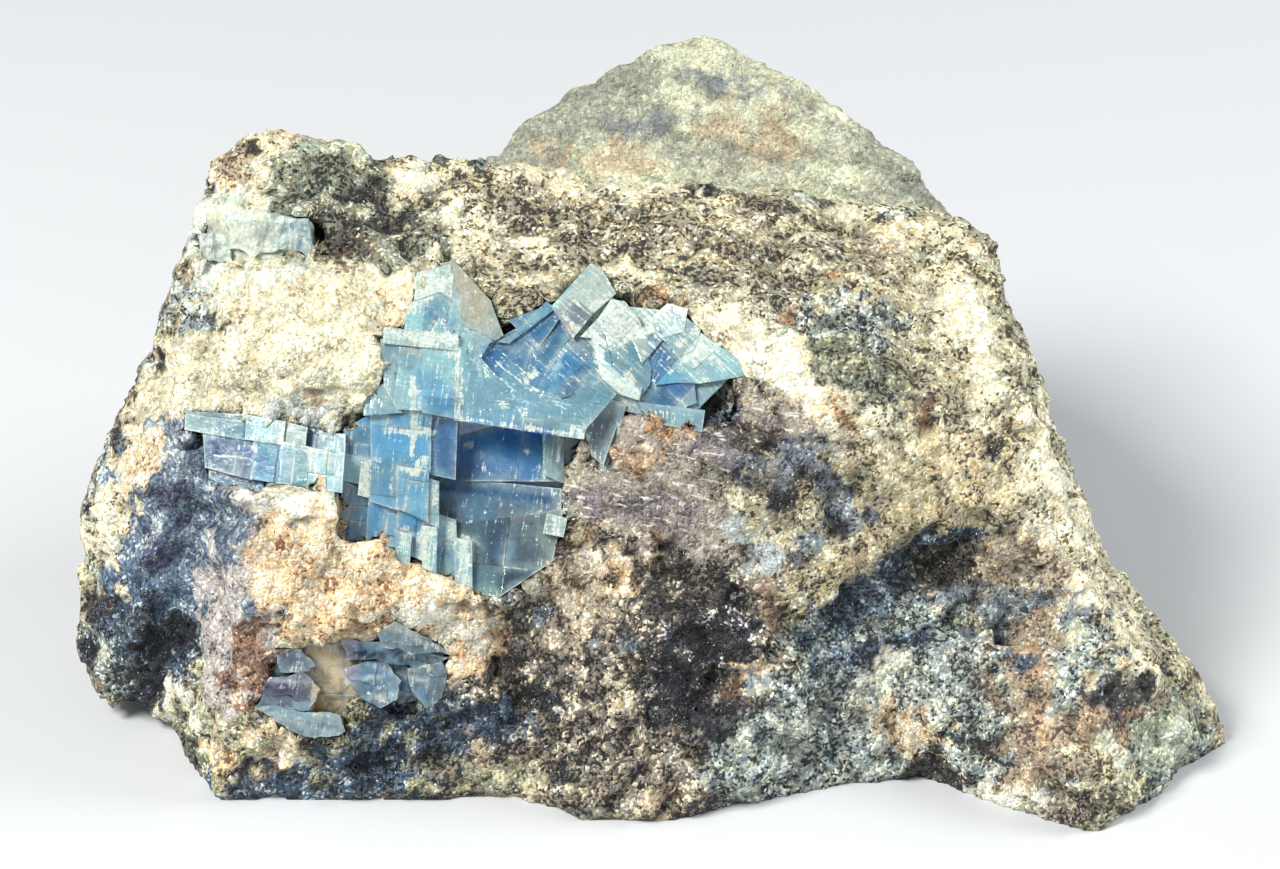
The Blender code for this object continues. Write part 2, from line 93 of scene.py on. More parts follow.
@dataclass(frozen=True)
class Grain:
    """How a mineral looks in grains.

    Attributes:
        body: Colour of most grains.
        dark: Colour of the darkest grains.
        pale: Colour of the palest grains.
        dark_up_to: Grains below this rank, from 0 to 1, are dark.
        pale_from: Grains above this rank are pale.
        relief: How rough the surface is, 1 for plain broken rock.
        gloss: 0 for dull grains and 1 for shiny cleavage.
        streaks: How strongly the white lines of painted sheen along the cleavage show.
    """

    body: str
    dark: str
    pale: str
    dark_up_to: float
    pale_from: float
    relief: float = 1.0
    gloss: float = 0.3
    streaks: float = 0.0


class Mineral(Enum):
    """The mineral mixtures of the rock."""

    SUGAR = Grain("c8c4a8", "8f7e5e", "e4e2c6", 0.23, 0.57, 0.85, 0.25)
    CREAM = Grain("d3ceae", "5e563f", "f2efd4", 0.30, 0.58, 0.9, 0.25)
    SNOW = Grain("dad8c2", "9c947c", "f2f1e0", 0.2, 0.5, 0.8, 0.3)
    PEACH = Grain("d8c39e", "7c5e42", "f3e8cc", 0.26, 0.58, 0.9, 0.25)
    ORANGE = Grain("dec096", "80593a", "faf0d4", 0.27, 0.62, 0.9, 0.25)
    RUST = Grain("927250", "463222", "c2a47e", 0.34, 0.66, 1.0, 0.2)
    RED_BROWN = Grain("6e523e", "2c2019", "a58c6c", 0.40, 0.76, 0.9, 0.35)
    TAN = Grain("baae8c", "4a4231", "e6e0bc", 0.31, 0.65, 0.9, 0.25)
    PINK_TAN = Grain("9c907c", "463b30", "d6ccb2", 0.36, 0.69, 0.9, 0.25)
    PINK_GREY = Grain("b6b1ad", "5f5a5a", "e6e2dc", 0.29, 0.69, 0.6, 0.2)
    OLIVE_TAN = Grain("a29c80", "35332a", "dedbba", 0.36, 0.66, 0.9, 0.3)
    OLIVE_PALE = Grain("a29f80", "3c3c33", "e4e2c2", 0.35, 0.61, 0.95, 0.3)
    GREY_BROWN = Grain("88836e", "2a2823", "dcd8ba", 0.40, 0.66, 1.0, 0.35)
    BROWN = Grain("7c7468", "161314", "dcd4ba", 0.42, 0.69, 1.15, 0.35)
    DARK_BROWN = Grain("4c4842", "0c0b0e", "c6bea6", 0.48, 0.75, 1.2, 0.4)
    GREY_GREEN = Grain("757b69", "1b1f1b", "c2c8ae", 0.42, 0.73, 1.1, 0.4)
    PALE_GREEN = Grain("a0ab96", "3e453f", "d4dcc4", 0.3, 0.66, 0.8, 0.3)
    SEA_GREY = Grain("86938f", "232c30", "dde2d2", 0.4, 0.64, 0.9, 0.4)
    BLUE_BLACK = Grain("3b546c", "0c1420", "b6c6ce", 0.44, 0.73, 1.25, 0.5)
    BLACK = Grain("20242f", "04060e", "848a90", 0.48, 0.80, 1.2, 0.6)
    SLATE = Grain("78848a", "30383f", "c8cec8", 0.36, 0.74, 0.8, 0.6)
    VIOLET = Grain("61788e", "3a495f", "c0cacb", 0.42, 0.71, 0.55, 0.35)
    DARK_VIOLET = Grain("484e66", "161a32", "989ea8", 0.46, 0.8, 0.7, 0.35)
    MAUVE = Grain("9a9186", "645c58", "c4beb2", 0.32, 0.72, 0.4, 0.8, 1.0)
    PALE_BLUE = Grain("a4aead", "6a7479", "d9dfd8", 0.28, 0.68, 0.5, 0.8)
    NIGHT = Grain("30343f", "06070f", "dadcd8", 0.50, 0.75, 1.2, 0.6)
    MILK = Grain("c2ccbe", "98a49c", "eef0de", 0.22, 0.62, 0.5, 0.5, 0.2)
    GREY_OLIVE = Grain("9c977e", "332f26", "dedabc", 0.37, 0.65, 0.95, 0.35)
    SALMON = Grain("a38c72", "50423a", "d4c2a4", 0.35, 0.69, 0.9, 0.25)
    SEA_PALE = Grain("9caaa6", "2c3438", "e6ecdc", 0.34, 0.6, 0.9, 0.4)
    STEEL_GREY = Grain("646c76", "1c212b", "b4bac0", 0.4, 0.74, 0.9, 0.5)
    TEAL_GREY = Grain("5f7482", "15202c", "bccaca", 0.42, 0.68, 1.1, 0.5)
    TERRACOTTA = Grain("86624c", "3c281f", "cdb69c", 0.36, 0.69, 0.9, 0.2)
    MAUVE_DARK = Grain("7d777a", "4a464a", "b0a9a6", 0.34, 0.74, 0.45, 0.8, 1.0)
    CHIP = Grain("9c8676", "5c4a40", "c4b29e", 0.3, 0.76, 0.4, 0.3)
    HAZE_CREAM = Grain("acb299", "8e927e", "cdd3b9", 0.32, 0.6, 0.5, 0.1)
    HAZE_LIGHT = Grain("bcc0a6", "9fa489", "d6d9be", 0.3, 0.6, 0.5, 0.1)
    HAZE_GREY = Grain("8d9184", "73786d", "b0b29e", 0.36, 0.66, 0.5, 0.1)
    HAZE_TAN = Grain("aca084", "8e7f67", "c6bc9c", 0.35, 0.65, 0.5, 0.1)
    HAZE_BLUE = Grain("7d8484", "646b6f", "a0a6a2", 0.42, 0.72, 0.5, 0.1)


@dataclass(frozen=True)
class Patch:
    """A stretch of one mineral on the display face, an ellipse with a ragged edge.

    Attributes:
        mineral: What it is made of.
        across: Middle, to the right of the display centre, in mm.
        up: Middle, above the display centre, in mm.
        long: Half its length, in mm.
        short: Half its width, in mm.
        turn: Direction of its length, in degrees anticlockwise from the horizontal.
        reach: How far in front of and behind its middle it reaches, in mm, or 0 for as far as its size asks.
        fade: Width over which it passes into what lies around it, as a share of its half width.
    """

    mineral: Mineral
    across: float
    up: float
    long: float
    short: float
    turn: float
    reach: float = 0.0
    fade: float = 0.12


@dataclass(frozen=True)
class Boss:
    """A swelling of the rock, or a hollow where its height is negative, in mm and degrees."""

    across: float
    up: float
    long: float
    short: float
    turn: float
    height: float
    edge: float = 0.5
    reach: float = 0.0


PATCHES = listed(
    Patch,
    (Mineral.GREY_OLIVE, (6.5, 12.1, 27.8, 10.2, -4)),
    (Mineral.OLIVE_TAN, (24.8, 6.9, 8.3, 11.2, -40)),
    (Mineral.TAN, (27.0, -5.7, 10.7, 5.8, -10)),
    (Mineral.BROWN, (0.9, -17.0, 16.6, 8.8, 0), (-3.5, -27.4, 15.6, 6.8, -5)),
    (Mineral.OLIVE_TAN, (16.5, -15.3, 6.8, 4.9, 30)),
    (Mineral.SEA_GREY, (21.3, -22.7, 12.2, 9.3, 10), (13.9, -28.3, 9.7, 4.9, 8)),
    (Mineral.PINK_TAN, (37.0, -23.1, 9.7, 6.3, -75)),
    (Mineral.OLIVE_PALE, (39.6, 1.7, 13.1, 5.4, -72), (43.9, -11.8, 8.3, 4.9, -66),
        (40.4, -31.8, 6.3, 3.9, 20)),
    (Mineral.HAZE_CREAM, (5.2, 27.3, 32, 12, 0, 8, 0.7)),
    (Mineral.HAZE_GREY, (-8.7, 25.6, 10, 2.4, 28, 8, 0.7), (20.9, 23.4, 7, 3.2, -40, 8, 0.7)),
    (Mineral.HAZE_CREAM, (4.3, 32.4, 7.5, 1.8, -8, 8, 0.7)),
    (Mineral.HAZE_TAN, (10.1, 25.6, 5.2, 3.4, -10, 8, 0.7)),
    (Mineral.HAZE_BLUE, (1.3, 27.6, 4.6, 1.2, 10, 8, 0.7), (7.1, 30.3, 3.4, 0.8, -14, 8, 0.7),
        (0.5, 26.7, 2.0, 0.9, 0, 8, 0.7)),
    (Mineral.HAZE_GREY, (-2.4, 29.8, 4.0, 1.6, 30, 8, 0.7), (13.9, 29.4, 3.0, 1.4, -35, 8, 0.7)),
    (Mineral.HAZE_LIGHT, (6.0, 33.2, 5.5, 1.3, -12, 8, 0.7), (14.6, 30.2, 4.6, 0.9, -38, 8, 0.7),
        (4.0, 29.0, 2.2, 1.0, -20, 8, 0.7), (9.8, 27.4, 2.4, 0.8, -60, 8, 0.7),
        (0.2, 24.6, 3.4, 0.7, 4, 8, 0.7), (17.0, 24.6, 2.6, 0.7, -42, 8, 0.7)),
    (Mineral.HAZE_TAN, (1.3, 33.9, 1.7, 0.7, 32, 8, 0.7), (-1.7, 23.9, 5, 1.3, -3, 8, 0.7)),
    (Mineral.HAZE_CREAM, (13.9, 22.8, 4.4, 0.9, 4, 8, 0.7)),
    (Mineral.HAZE_GREY, (7.0, 23.9, 5.0, 1.4, -4, 8, 0.7)),
    (Mineral.CREAM, (0.0, 21.3, 2.4, 0.7, 8, 5), (-7.0, 22.0, 4.0, 0.6, -4, 4),
        (6.5, 20.4, 4.0, 0.9, -12, 4)),
    (Mineral.PINK_TAN, (9.1, 20.1, 1.6, 0.5, 10, 4)),
    (Mineral.CREAM, (19.1, 20.0, 3.0, 0.7, -14, 4)),
    (Mineral.GREY_BROWN, (11.8, 20.0, 1.0, 0.9, 0, 3)),
    (Mineral.CREAM, (6.1, 20.2, 2.5, 1.1, -8), (-34.3, 18.2, 7.3, 4.4, 60), (-17.9, 19.1, 6.4, 6.3, -20)),
    (Mineral.SUGAR, (-31.7, 8.0, 12.2, 8.0, 0), (-32.2, 14.1, 5.8, 2.7, 0), (-22.2, 12.8, 5.4, 4.1, 10),
        (-41.7, 0.8, 4.4, 3.9, 60)),
    (Mineral.GREY_GREEN, (-27.2, 20.3, 6.3, 5.9, -12), (-18.7, 18.2, 4.4, 2.4, -25),
        (-22.2, 15.7, 2.4, 1.4, 20)),
    (Mineral.PALE_GREEN, (-27.1, 24.8, 3.1, 1.1, -5)),
    (Mineral.ORANGE, (-29.3, 26.0, 2.7, 0.6, 5)),
    (Mineral.RED_BROWN, (-26.6, 17.3, 2.1, 1.9, 0)),
    (Mineral.BLACK, (-28.2, 20.9, 1.6, 1.8, 0)),
    (Mineral.DARK_BROWN, (-24.0, 19.6, 3.6, 2.2, -35)),
    (Mineral.GREY_GREEN, (-26.0, 22.6, 4.2, 1.4, -8)),
    (Mineral.SEA_PALE, (-39.1, 10.6, 2.1, 1.9, -20)),
    (Mineral.SLATE, (-38.6, 10.0, 1.2, 0.6, -20)),
    (Mineral.BLACK, (-36.3, 9.6, 1.0, 0.6, -25)),
    (Mineral.PALE_BLUE, (-29.0, 1.9, 2.3, 1.0, -8)),
    (Mineral.CHIP, (-28.0, 3.3, 1.3, 0.8, -35)),
    (Mineral.ORANGE, (-40.8, -0.0, 1.5, 1.3, 50)),
    (Mineral.PEACH, (-21.7, 10.7, 1.9, 1.7, -30), (-35.0, 23.1, 2.3, 2.0, 50)),
    (Mineral.GREY_BROWN, (-11.9, 20.0, 4.3, 1.6, -18), (-0.7, 17.8, 5.6, 2.3, -8),
        (-12.3, 14.7, 2.8, 1.7, -25), (11.1, 19.0, 1.6, 1.2, 0)),
    (Mineral.CREAM, (-9.3, 16.0, 1.3, 1.4, -30), (-14.8, 17.3, 2.9, 1.0, -25), (-0.9, 14.3, 1.9, 1.0, -5),
        (-5.2, 21.4, 1.9, 0.8, 0), (23.9, 17.7, 4.4, 1.6, -12)),
    (Mineral.PINK_TAN, (20.6, 16.2, 1.5, 1.4, 0)),
    (Mineral.RUST, (1.6, 11.9, 1.7, 0.5, -12), (13.0, 10.2, 1.2, 0.6, 60), (16.8, 13.8, 0.9, 0.6, -20),
        (30.0, 17.7, 0.7, 0.7, 0), (19.3, 6.3, 0.9, 0.7, -30)),
    (Mineral.RED_BROWN, (25.3, 2.1, 1.4, 0.9, 70)),
    (Mineral.SEA_GREY, (17.7, 10.0, 5.6, 1.9, -10)),
    (Mineral.GREY_GREEN, (17.4, 5.2, 5.8, 4.4, -35)),
    (Mineral.CREAM, (27.4, 11.8, 3.6, 3.0, -50)),
    (Mineral.OLIVE_PALE, (30.0, 9.1, 1.9, 8.8, 0)),
    (Mineral.SUGAR, (29.5, 6.3, 1.1, 6.1, 8)),
    (Mineral.CREAM, (34.7, -1.9, 1.5, 4.3, 22), (38.7, -11.8, 4.4, 12.7, 24)),
    (Mineral.SUGAR, (14.4, 3.9, 8.6, 2.2, -38)),
    (Mineral.CREAM, (7.8, 8.4, 2.9, 2.1, -35)),
    (Mineral.SUGAR, (11.4, 5.8, 3.4, 1.4, -38)),
    (Mineral.RUST, (18.4, 0.4, 1.7, 0.9, -40)),
    (Mineral.CREAM, (21.1, -0.6, 2.2, 2.2, -30)),
    (Mineral.MAUVE, (10.1, 1.9, 6.8, 2.0, -20), (2.8, -3.1, 8.5, 6.8, -5)),
    # Painted shadow: black in the small pit beside the calcite.
    (Mineral.BLACK, (6.5, 2.9, 1.7, 1.5, -20)),
    (Mineral.DARK_BROWN, (9.7, -0.0, 2.7, 1.5, -20)),
    (Mineral.SLATE, (13.9, -2.0, 2.3, 1.6, -30), (17.4, -6.0, 3.2, 1.2, -38)),
    (Mineral.GREY_BROWN, (9.4, -3.9, 3.1, 2.0, -20)),
    (Mineral.BLACK, (12.3, -5.7, 1.2, 0.8, 0)),
    (Mineral.RUST, (2.4, 0.4, 2.8, 0.5, -8), (-1.6, -2.2, 1.9, 0.5, -30), (-3.7, -7.6, 0.6, 0.9, 0)),
    (Mineral.PALE_BLUE, (7.8, -8.2, 1.3, 0.6, -20), (11.4, -10.4, 0.9, 1.2, -20)),
    (Mineral.SLATE, (14.2, -8.9, 1.6, 1.8, 0)),
    (Mineral.RED_BROWN, (-5.3, -9.8, 1.3, 1.1, 0), (1.1, -8.7, 0.9, 1.1, 0)),
    (Mineral.SNOW, (-8.9, -13.1, 1.9, 1.7, 30)),
    (Mineral.CREAM, (-4.8, -12.0, 2.4, 1.7, 20)),
    (Mineral.PINK_TAN, (-4.7, -14.7, 3.3, 4.2, 0)),
    (Mineral.PEACH, (-1.9, -12.2, 3.1, 1.5, 10)),
    (Mineral.SLATE, (-8.8, -15.5, 2.2, 1.3, -20)),
    (Mineral.NIGHT, (6.6, -17.6, 4.2, 3.2, 30), (4.4, -21.2, 4.0, 2.5, 0)),
    (Mineral.DARK_BROWN, (4.3, -18.2, 6.6, 5.5, 0)),
    (Mineral.SLATE, (-0.8, -18.6, 1.8, 0.6, -10)),
    (Mineral.CREAM, (-1.7, -22.0, 1.7, 1.3, -60)),
    (Mineral.PALE_BLUE, (9.8, -21.3, 1.2, 0.6, 10)),
    (Mineral.ORANGE, (10.0, -20.3, 1.3, 0.5, 0)),
    (Mineral.SALMON, (11.4, -15.0, 0.8, 2.4, 8)),
    (Mineral.SLATE, (18.6, -14.7, 2.5, 1.7, 30)),
    (Mineral.RED_BROWN, (8.9, -23.2, 1.4, 0.8, 0)),
    (Mineral.BROWN, (3.3, -28.7, 3.3, 2.9, 0)),
    (Mineral.PEACH, (1.5, -32.0, 1.1, 1.1, 0)),
    (Mineral.BLACK, (-8.6, -23.6, 2.0, 1.6, -30), (-6.4, -29.2, 1.2, 1.0, 0), (6.1, -25.0, 2.2, 1.9, 60)),
    (Mineral.DARK_BROWN, (-11.7, -18.7, 4.9, 2.4, 90)),
    (Mineral.VIOLET, (-41.4, -7.4, 8.4, 7.8, 60), (-42.6, -13.5, 5.8, 4.9, 0)),
    (Mineral.DARK_VIOLET, (-40.9, -5.4, 1.9, 1.1, -10), (-37.1, -8.0, 3.0, 1.4, 0),
        (-42.3, -10.5, 1.7, 1.5, 40)),
    (Mineral.PEACH, (-43.8, -2.4, 2.3, 1.8, 40)),
    (Mineral.CREAM, (-36.0, -5.8, 2.9, 1.3, 10), (-46.9, -7.8, 5.3, 2.4, 60), (-44.9, -15.2, 1.8, 1.7, 20)),
    (Mineral.BLUE_BLACK, (-43.5, -19.4, 5.8, 5.6, 0)),
    (Mineral.BLACK, (-47.2, -15.0, 1.3, 1.3, 0), (-47.7, -19.3, 1.2, 1.5, 0), (-41.1, -18.0, 2.8, 1.5, 10),
        (-39.5, -16.0, 1.2, 1.4, 0), (-43.1, -22.1, 2.5, 2.6, 40)),
    (Mineral.SEA_GREY, (-45.8, -21.4, 3.0, 1.3, 90)),
    (Mineral.SNOW, (-40.6, -23.1, 1.3, 1.6, 0)),
    (Mineral.GREY_GREEN, (-39.0, -27.1, 3.1, 2.2, -60)),
    (Mineral.PINK_GREY, (-35.1, -15.3, 3.9, 10.7, 0)),
    (Mineral.VIOLET, (-36.1, -7.9, 3.4, 2.4, 50)),
    (Mineral.TERRACOTTA, (-34.4, -19.8, 5.3, 2.2, 84)),
    (Mineral.VIOLET, (-33.4, -14.6, 1.0, 1.2, 0)),
    (Mineral.ORANGE, (-23.0, -12.2, 10.7, 7.3, -14), (-29.1, -11.6, 7.1, 3.8, 90),
        (-14.8, -17.4, 2.9, 3.4, 0)),
    (Mineral.SNOW, (-30.2, -5.3, 3.8, 1.7, -6), (-17.6, -16.2, 4.1, 1.5, -8)),
    (Mineral.ORANGE, (-19.6, -12.8, 4.8, 2.4, -26)),
    (Mineral.PEACH, (-15.2, -15.0, 3.2, 2.0, -40), (-25.6, -10.2, 3.2, 1.5, -10)),
    (Mineral.SNOW, (-18.6, -16.2, 3.0, 1.2, -14)),
    (Mineral.PEACH, (-32.5, -27.3, 5.3, 2.6, -5)),
    (Mineral.OLIVE_PALE, (-35.2, -25.7, 2.4, 1.5, 0)),
    (Mineral.BLUE_BLACK, (-32.3, -30.8, 5.9, 1.7, 0)),
    (Mineral.GREY_GREEN, (-21.1, -27.5, 8.0, 4.4, -4)),
    (Mineral.BLUE_BLACK, (-21.3, -24.4, 2.4, 1.5, 0), (-23.0, -30.3, 4.4, 1.3, 0),
        (-13.9, -24.8, 3.9, 1.9, -10)),
    (Mineral.PINK_TAN, (-15.4, -27.9, 2.2, 2.0, 0)),
    (Mineral.OLIVE_PALE, (-10.9, -30.5, 4.4, 1.5, 0)),
    # The first two blue-black patches lie below the crease: the blue-grey rock there is darkened as painted
    # shade under the overhanging step.
    (Mineral.BLUE_BLACK, (21.1, -12.9, 7.5, 2.2, 34), (29.1, -8.7, 3.4, 1.0, 12),
        (19.1, -19.1, 3.9, 1.4, 20)),
    (Mineral.TAN, (20.3, -10.2, 6.5, 1.4, 33)),
    (Mineral.DARK_BROWN, (27.7, -12.3, 3.1, 2.7, -20)),
    (Mineral.PINK_TAN, (33.8, -12.0, 4.0, 2.8, 0)),
    (Mineral.SLATE, (33.0, -14.6, 6.1, 1.0, -4)),
    (Mineral.SALMON, (34.6, -20.0, 3.6, 1.6, 78), (35.3, -26.1, 4.2, 0.9, 72), (39.2, -24.6, 4.6, 0.8, 62)),
    (Mineral.PEACH, (41.3, -19.4, 1.8, 0.9, -60)),
    (Mineral.BLUE_BLACK, (32.3, -19.1, 1.4, 1.1, -60)),
    (Mineral.SEA_GREY, (38.1, -19.9, 4.0, 2.7, 60)),
    (Mineral.BLACK, (41.9, -22.8, 2.0, 1.9, -60)),
    (Mineral.SALMON, (42.4, -25.8, 2.7, 0.9, 55)),
    (Mineral.SEA_GREY, (46.4, -27.7, 5.3, 3.0, 25)),
    (Mineral.CREAM, (39.2, -28.0, 1.9, 1.3, 0)),
    (Mineral.SNOW, (31.9, -31.8, 3.4, 1.2, -12)),
    (Mineral.DARK_BROWN, (25.6, -29.3, 3.1, 2.2, -30)),
    (Mineral.PEACH, (23.0, -25.3, 3.2, 1.9, -10)),
    (Mineral.SNOW, (22.1, -19.9, 1.6, 0.9, 0)),
    (Mineral.BROWN, (37.8, -32.0, 2.4, 2.2, 30)),
    (Mineral.MILK, (-33.9, 17.3, 5.6, 3.6, -8), (-37.8, 16.5, 1.4, 5.0, -4), (-35.6, 20.6, 2.8, 1.5, 20),
        (-33.0, 13.6, 3.6, 0.8, 4)),
    (Mineral.SUGAR, (-33.6, 12.6, 2.6, 0.9, 8)),
    (Mineral.PALE_GREEN, (45.2, -26.6, 5.0, 3.0, 25)),
    (Mineral.GREY_GREEN, (-27.6, 20.2, 3.4, 3.2, -10)),
    (Mineral.DARK_BROWN, (-25.4, 18.4, 2.4, 1.8, -30)),
    (Mineral.GREY_BROWN, (-6.0, 17.4, 4.4, 1.3, -14), (8.6, 16.4, 6.4, 1.4, -10)),
    (Mineral.SNOW, (13.2, 4.5, 6.6, 1.7, -38)),
    (Mineral.PEACH, (15.6, 2.3, 1.8, 0.9, -40)),
    (Mineral.RUST, (17.6, 1.2, 1.4, 0.5, -45)),
    (Mineral.CREAM, (20.6, -0.6, 1.8, 1.5, -30)),
    (Mineral.NIGHT, (6.8, -17.4, 4.4, 3.2, 40), (2.6, -22.6, 2.2, 3.2, 10)),
    (Mineral.BLUE_BLACK, (-24.6, -28.2, 3.6, 1.6, 0), (-17.6, -26.4, 2.8, 1.6, -12)),
    (Mineral.SEA_PALE, (13.2, -27.2, 7.6, 2.6, 8)),
    (Mineral.TAN, (26.4, -4.4, 6.4, 3.4, -10)),
    (Mineral.SLATE, (30.6, -16.4, 3.4, 0.6, 24)),
    (Mineral.OLIVE_TAN, (28.0, 18.2, 3.8, 1.8, -15, 6)),
    (Mineral.CREAM, (26.6, 17.2, 2.2, 0.8, -12, 5)),
    (Mineral.RUST, (30.0, 17.7, 0.6, 0.5, 0)),
    (Mineral.CREAM, (29.6, 7.3, 4.6, 1.1, -79)),
    (Mineral.SNOW, (29.8, 9.6, 2.2, 0.6, -75)),
    (Mineral.CREAM, (33.3, -1.2, 5.1, 1.1, -55)),
    (Mineral.SNOW, (35.7, 1.3, 1.6, 1.1, -60), (37.4, -4.4, 2.4, 0.8, -60)),
    (Mineral.RUST, (3.4, -0.2, 2.4, 0.4, -8)),
    (Mineral.SALMON, (-3.4, -2.6, 1.2, 2.0, 30)),
    (Mineral.DARK_BROWN, (8.4, 0.4, 2.4, 1.1, -10)),
    (Mineral.STEEL_GREY, (15.9, -4.0, 4.9, 1.2, -40), (9.6, -2.9, 2.4, 0.9, -20)),
    (Mineral.CREAM, (9.5, -6.4, 1.4, 0.8, -10)),
    (Mineral.PALE_BLUE, (11.3, -10.5, 1.4, 1.8, -10)),
    (Mineral.DARK_BROWN, (2.6, -11.6, 4.4, 1.5, 8)),
    (Mineral.TEAL_GREY, (19.4, -15.4, 4.4, 1.7, 35)),
    # Painted shadow: blue-black in the same small pit beside the calcite.
    (Mineral.BLUE_BLACK, (7.0, 2.4, 1.3, 1.2, 0)),
    (Mineral.SALMON, (35.0, -22.6, 3.0, 0.7, 80), (33.6, -26.4, 3.4, 0.7, 74)),
    (Mineral.PINK_TAN, (-34.9, 22.9, 2.8, 2.1, 50)),
    (Mineral.CREAM, (-33.6, 22.6, 2.2, 0.6, -74)),
    (Mineral.PINK_TAN, (-31.6, 25.6, 3.2, 0.8, 12)),
    (Mineral.ORANGE, (-29.0, 26.1, 2.4, 0.4, 4)),
    (Mineral.MAUVE_DARK, (0.1, -6.8, 4.2, 1.5, -8), (7.4, -1.6, 2.2, 1.1, -16)),
    (Mineral.SALMON, (0.4, -1.6, 2.6, 0.9, -12)),
)

BOSSES = [Boss(*row) for row in (
    (-36.5, -7.0, 3.4, 1.3, 0, -1.2), (-37.0, -14.5, 1.0, 7.0, 10, -0.9),
    (-40.5, -5.8, 2.2, 0.9, -10, -0.6), (-35.8, -5.4, 3.2, 0.9, 10, 0.6),
    (-41.5, -11.5, 3.5, 0.9, 25, -0.7), (-27.0, 17.2, 2.4, 2.0, 0, -0.8),
    (-29.0, 8.5, 7.5, 5.0, 0, 0.6, 0.9), (6.6, 2.9, 2.0, 1.6, -20, -1.1),
    (15.0, 3.4, 8.5, 2.0, -38, 0.7, 0.4), (12.0, -0.6, 8.0, 2.2, -34, -0.7, 0.6),
    (21.5, -13.6, 9.0, 2.6, 38, -1.5, 0.22), (31.0, -10.8, 5.0, 2.4, 8, -1.0, 0.35),
    (33.0, -17.5, 6.0, 1.0, -6, -0.5), (7.5, -19.0, 5.0, 4.0, 20, -0.9), (-4.0, -18.0, 3.0, 2.0, 0, 0.5),
    (2.0, -25.0, 4.0, 3.0, 0, 0.5), (-16.0, -26.0, 4.0, 2.4, 0, -0.7), (-21.0, -29.0, 6.0, 1.2, 0, -0.6),
    (36.5, -25.0, 1.4, 5.5, -15, 0.5), (40.5, -21.5, 1.2, 2.2, 20, -0.5),
    (-23.0, -12.5, 3.5, 2.4, -15, 0.5, 0.9), (-10.5, -5.5, 1.0, 3.0, -20, -0.4),
)]


# ---- The display face ----


@dataclass(frozen=True)
class DisplayFace:
    """The plane on which places are given, square to the line of sight.

    Attributes:
        centre: Point of the specimen that the viewer looks at, in metres.
        tilt: Degrees by which the viewer looks down.
        distance: From the viewer to the centre, in metres.
        width: Width of the view at the centre, in metres.
    """

    centre: tuple[float, float, float] = (-0.85 * MM, -8.5 * MM, 25 * MM)
    tilt: float = 30.0
    distance: float = 430 * MM
    width: float = 111.3 * MM

    def axes(self) -> Array:
        """The unit directions across, up and out to the viewer, as rows."""
        sine, cosine = math.sin(math.radians(self.tilt)), math.cos(math.radians(self.tilt))
        return np.array([(1.0, 0.0, 0.0), (0.0, sine, cosine), (0.0, -cosine, sine)])

    def out(self) -> Vector:
        """The direction out to the viewer."""
        return Vector(self.axes()[2])

    def viewpoint(self) -> Vector:
        """Where the viewer is, in metres."""
        return Vector(self.centre) + self.out() * self.distance

    def places(self, points: Array) -> Array:
        """Finds where points appear on the display face.

        Args:
            points: Positions in metres, one a row.

        Returns:
            Millimetres across and up as seen from the viewpoint, and out towards the viewer.
        """
        across, up, out = ((points - np.array(self.centre)) @ self.axes().T).T
        nearer = self.distance / (self.distance - out)
        return np.stack([across * nearer, up * nearer, out], axis=1) / MM

    def depth(self, surface: BVHTree, across: float, up: float) -> float:
        """Finds how far out the first surface under a place lies.

        Args:
            surface: The surface to look for.
            across: The place's distance across, in mm.
            up: Its distance up, in mm.

        Returns:
            The height in mm, or that of the display face where nothing is hit.
        """
        start = self.viewpoint()
        aim = Vector(self.centre) + Vector(self.axes()[0]) * across * MM + Vector(self.axes()[1]) * up * MM
        found = surface.ray_cast(start, (aim - start).normalized())[0]
        return float(self.places(np.array([found or aim]))[0][2])


# ---- Mesh tools ----


def surface_of(node: str) -> BVHTree:
    """The surface of a CAD node, for finding points on it."""
    return BVHTree.FromObject(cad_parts[node], bpy.context.evaluated_depsgraph_get())


def copy_of_node(node: str) -> Shape:
    """Copies a CAD node's mesh and joins its loose triangles.

    Args:
        node: Name of the CAD node.

    Returns:
        A new bmesh in the specimen's frame.
    """
    shape = bmesh.new()
    shape.from_mesh(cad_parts[node].data)
    bmesh.ops.remove_doubles(shape, verts=shape.verts, dist=MERGE)
    bmesh.ops.dissolve_degenerate(shape, dist=MERGE, edges=shape.edges)
    return shape


def add_piece(name: str, shape: Shape) -> Piece:
    """Makes a named object of a bmesh.

    Args:
        name: Name of the object and its mesh.
        shape: The bmesh, which is used up.

    Returns:
        The object, at the origin.
    """
    mesh = bpy.data.meshes.new(name)
    shape.to_mesh(mesh)
    shape.free()
    piece = bpy.data.objects.new(name, mesh)
    bpy.context.scene.collection.objects.link(piece)
    return piece


def corners(mesh: Mesh, what: str = "co") -> Array:
    """Reads one row of three numbers for each corner of a mesh.

    Args:
        mesh: The mesh.
        what: co for positions in metres, or normal for the directions in which the corners face.

    Returns:
        The rows.
    """
    flat = np.empty(len(mesh.vertices) * 3, np.float32)
    mesh.vertices.foreach_get(what, flat)
    return flat.reshape(-1, 3).astype(float)


def move_corners(mesh: Mesh, points: Array) -> None:
    """Puts the mesh's corners at new positions in metres."""
    mesh.vertices.foreach_set("co", points.astype(np.float32).ravel())
    mesh.update()


def dress(mesh: Mesh, material: bpy.types.Material) -> None:
    """Gives a mesh its only material."""
    mesh.materials.clear()
    mesh.materials.append(material)


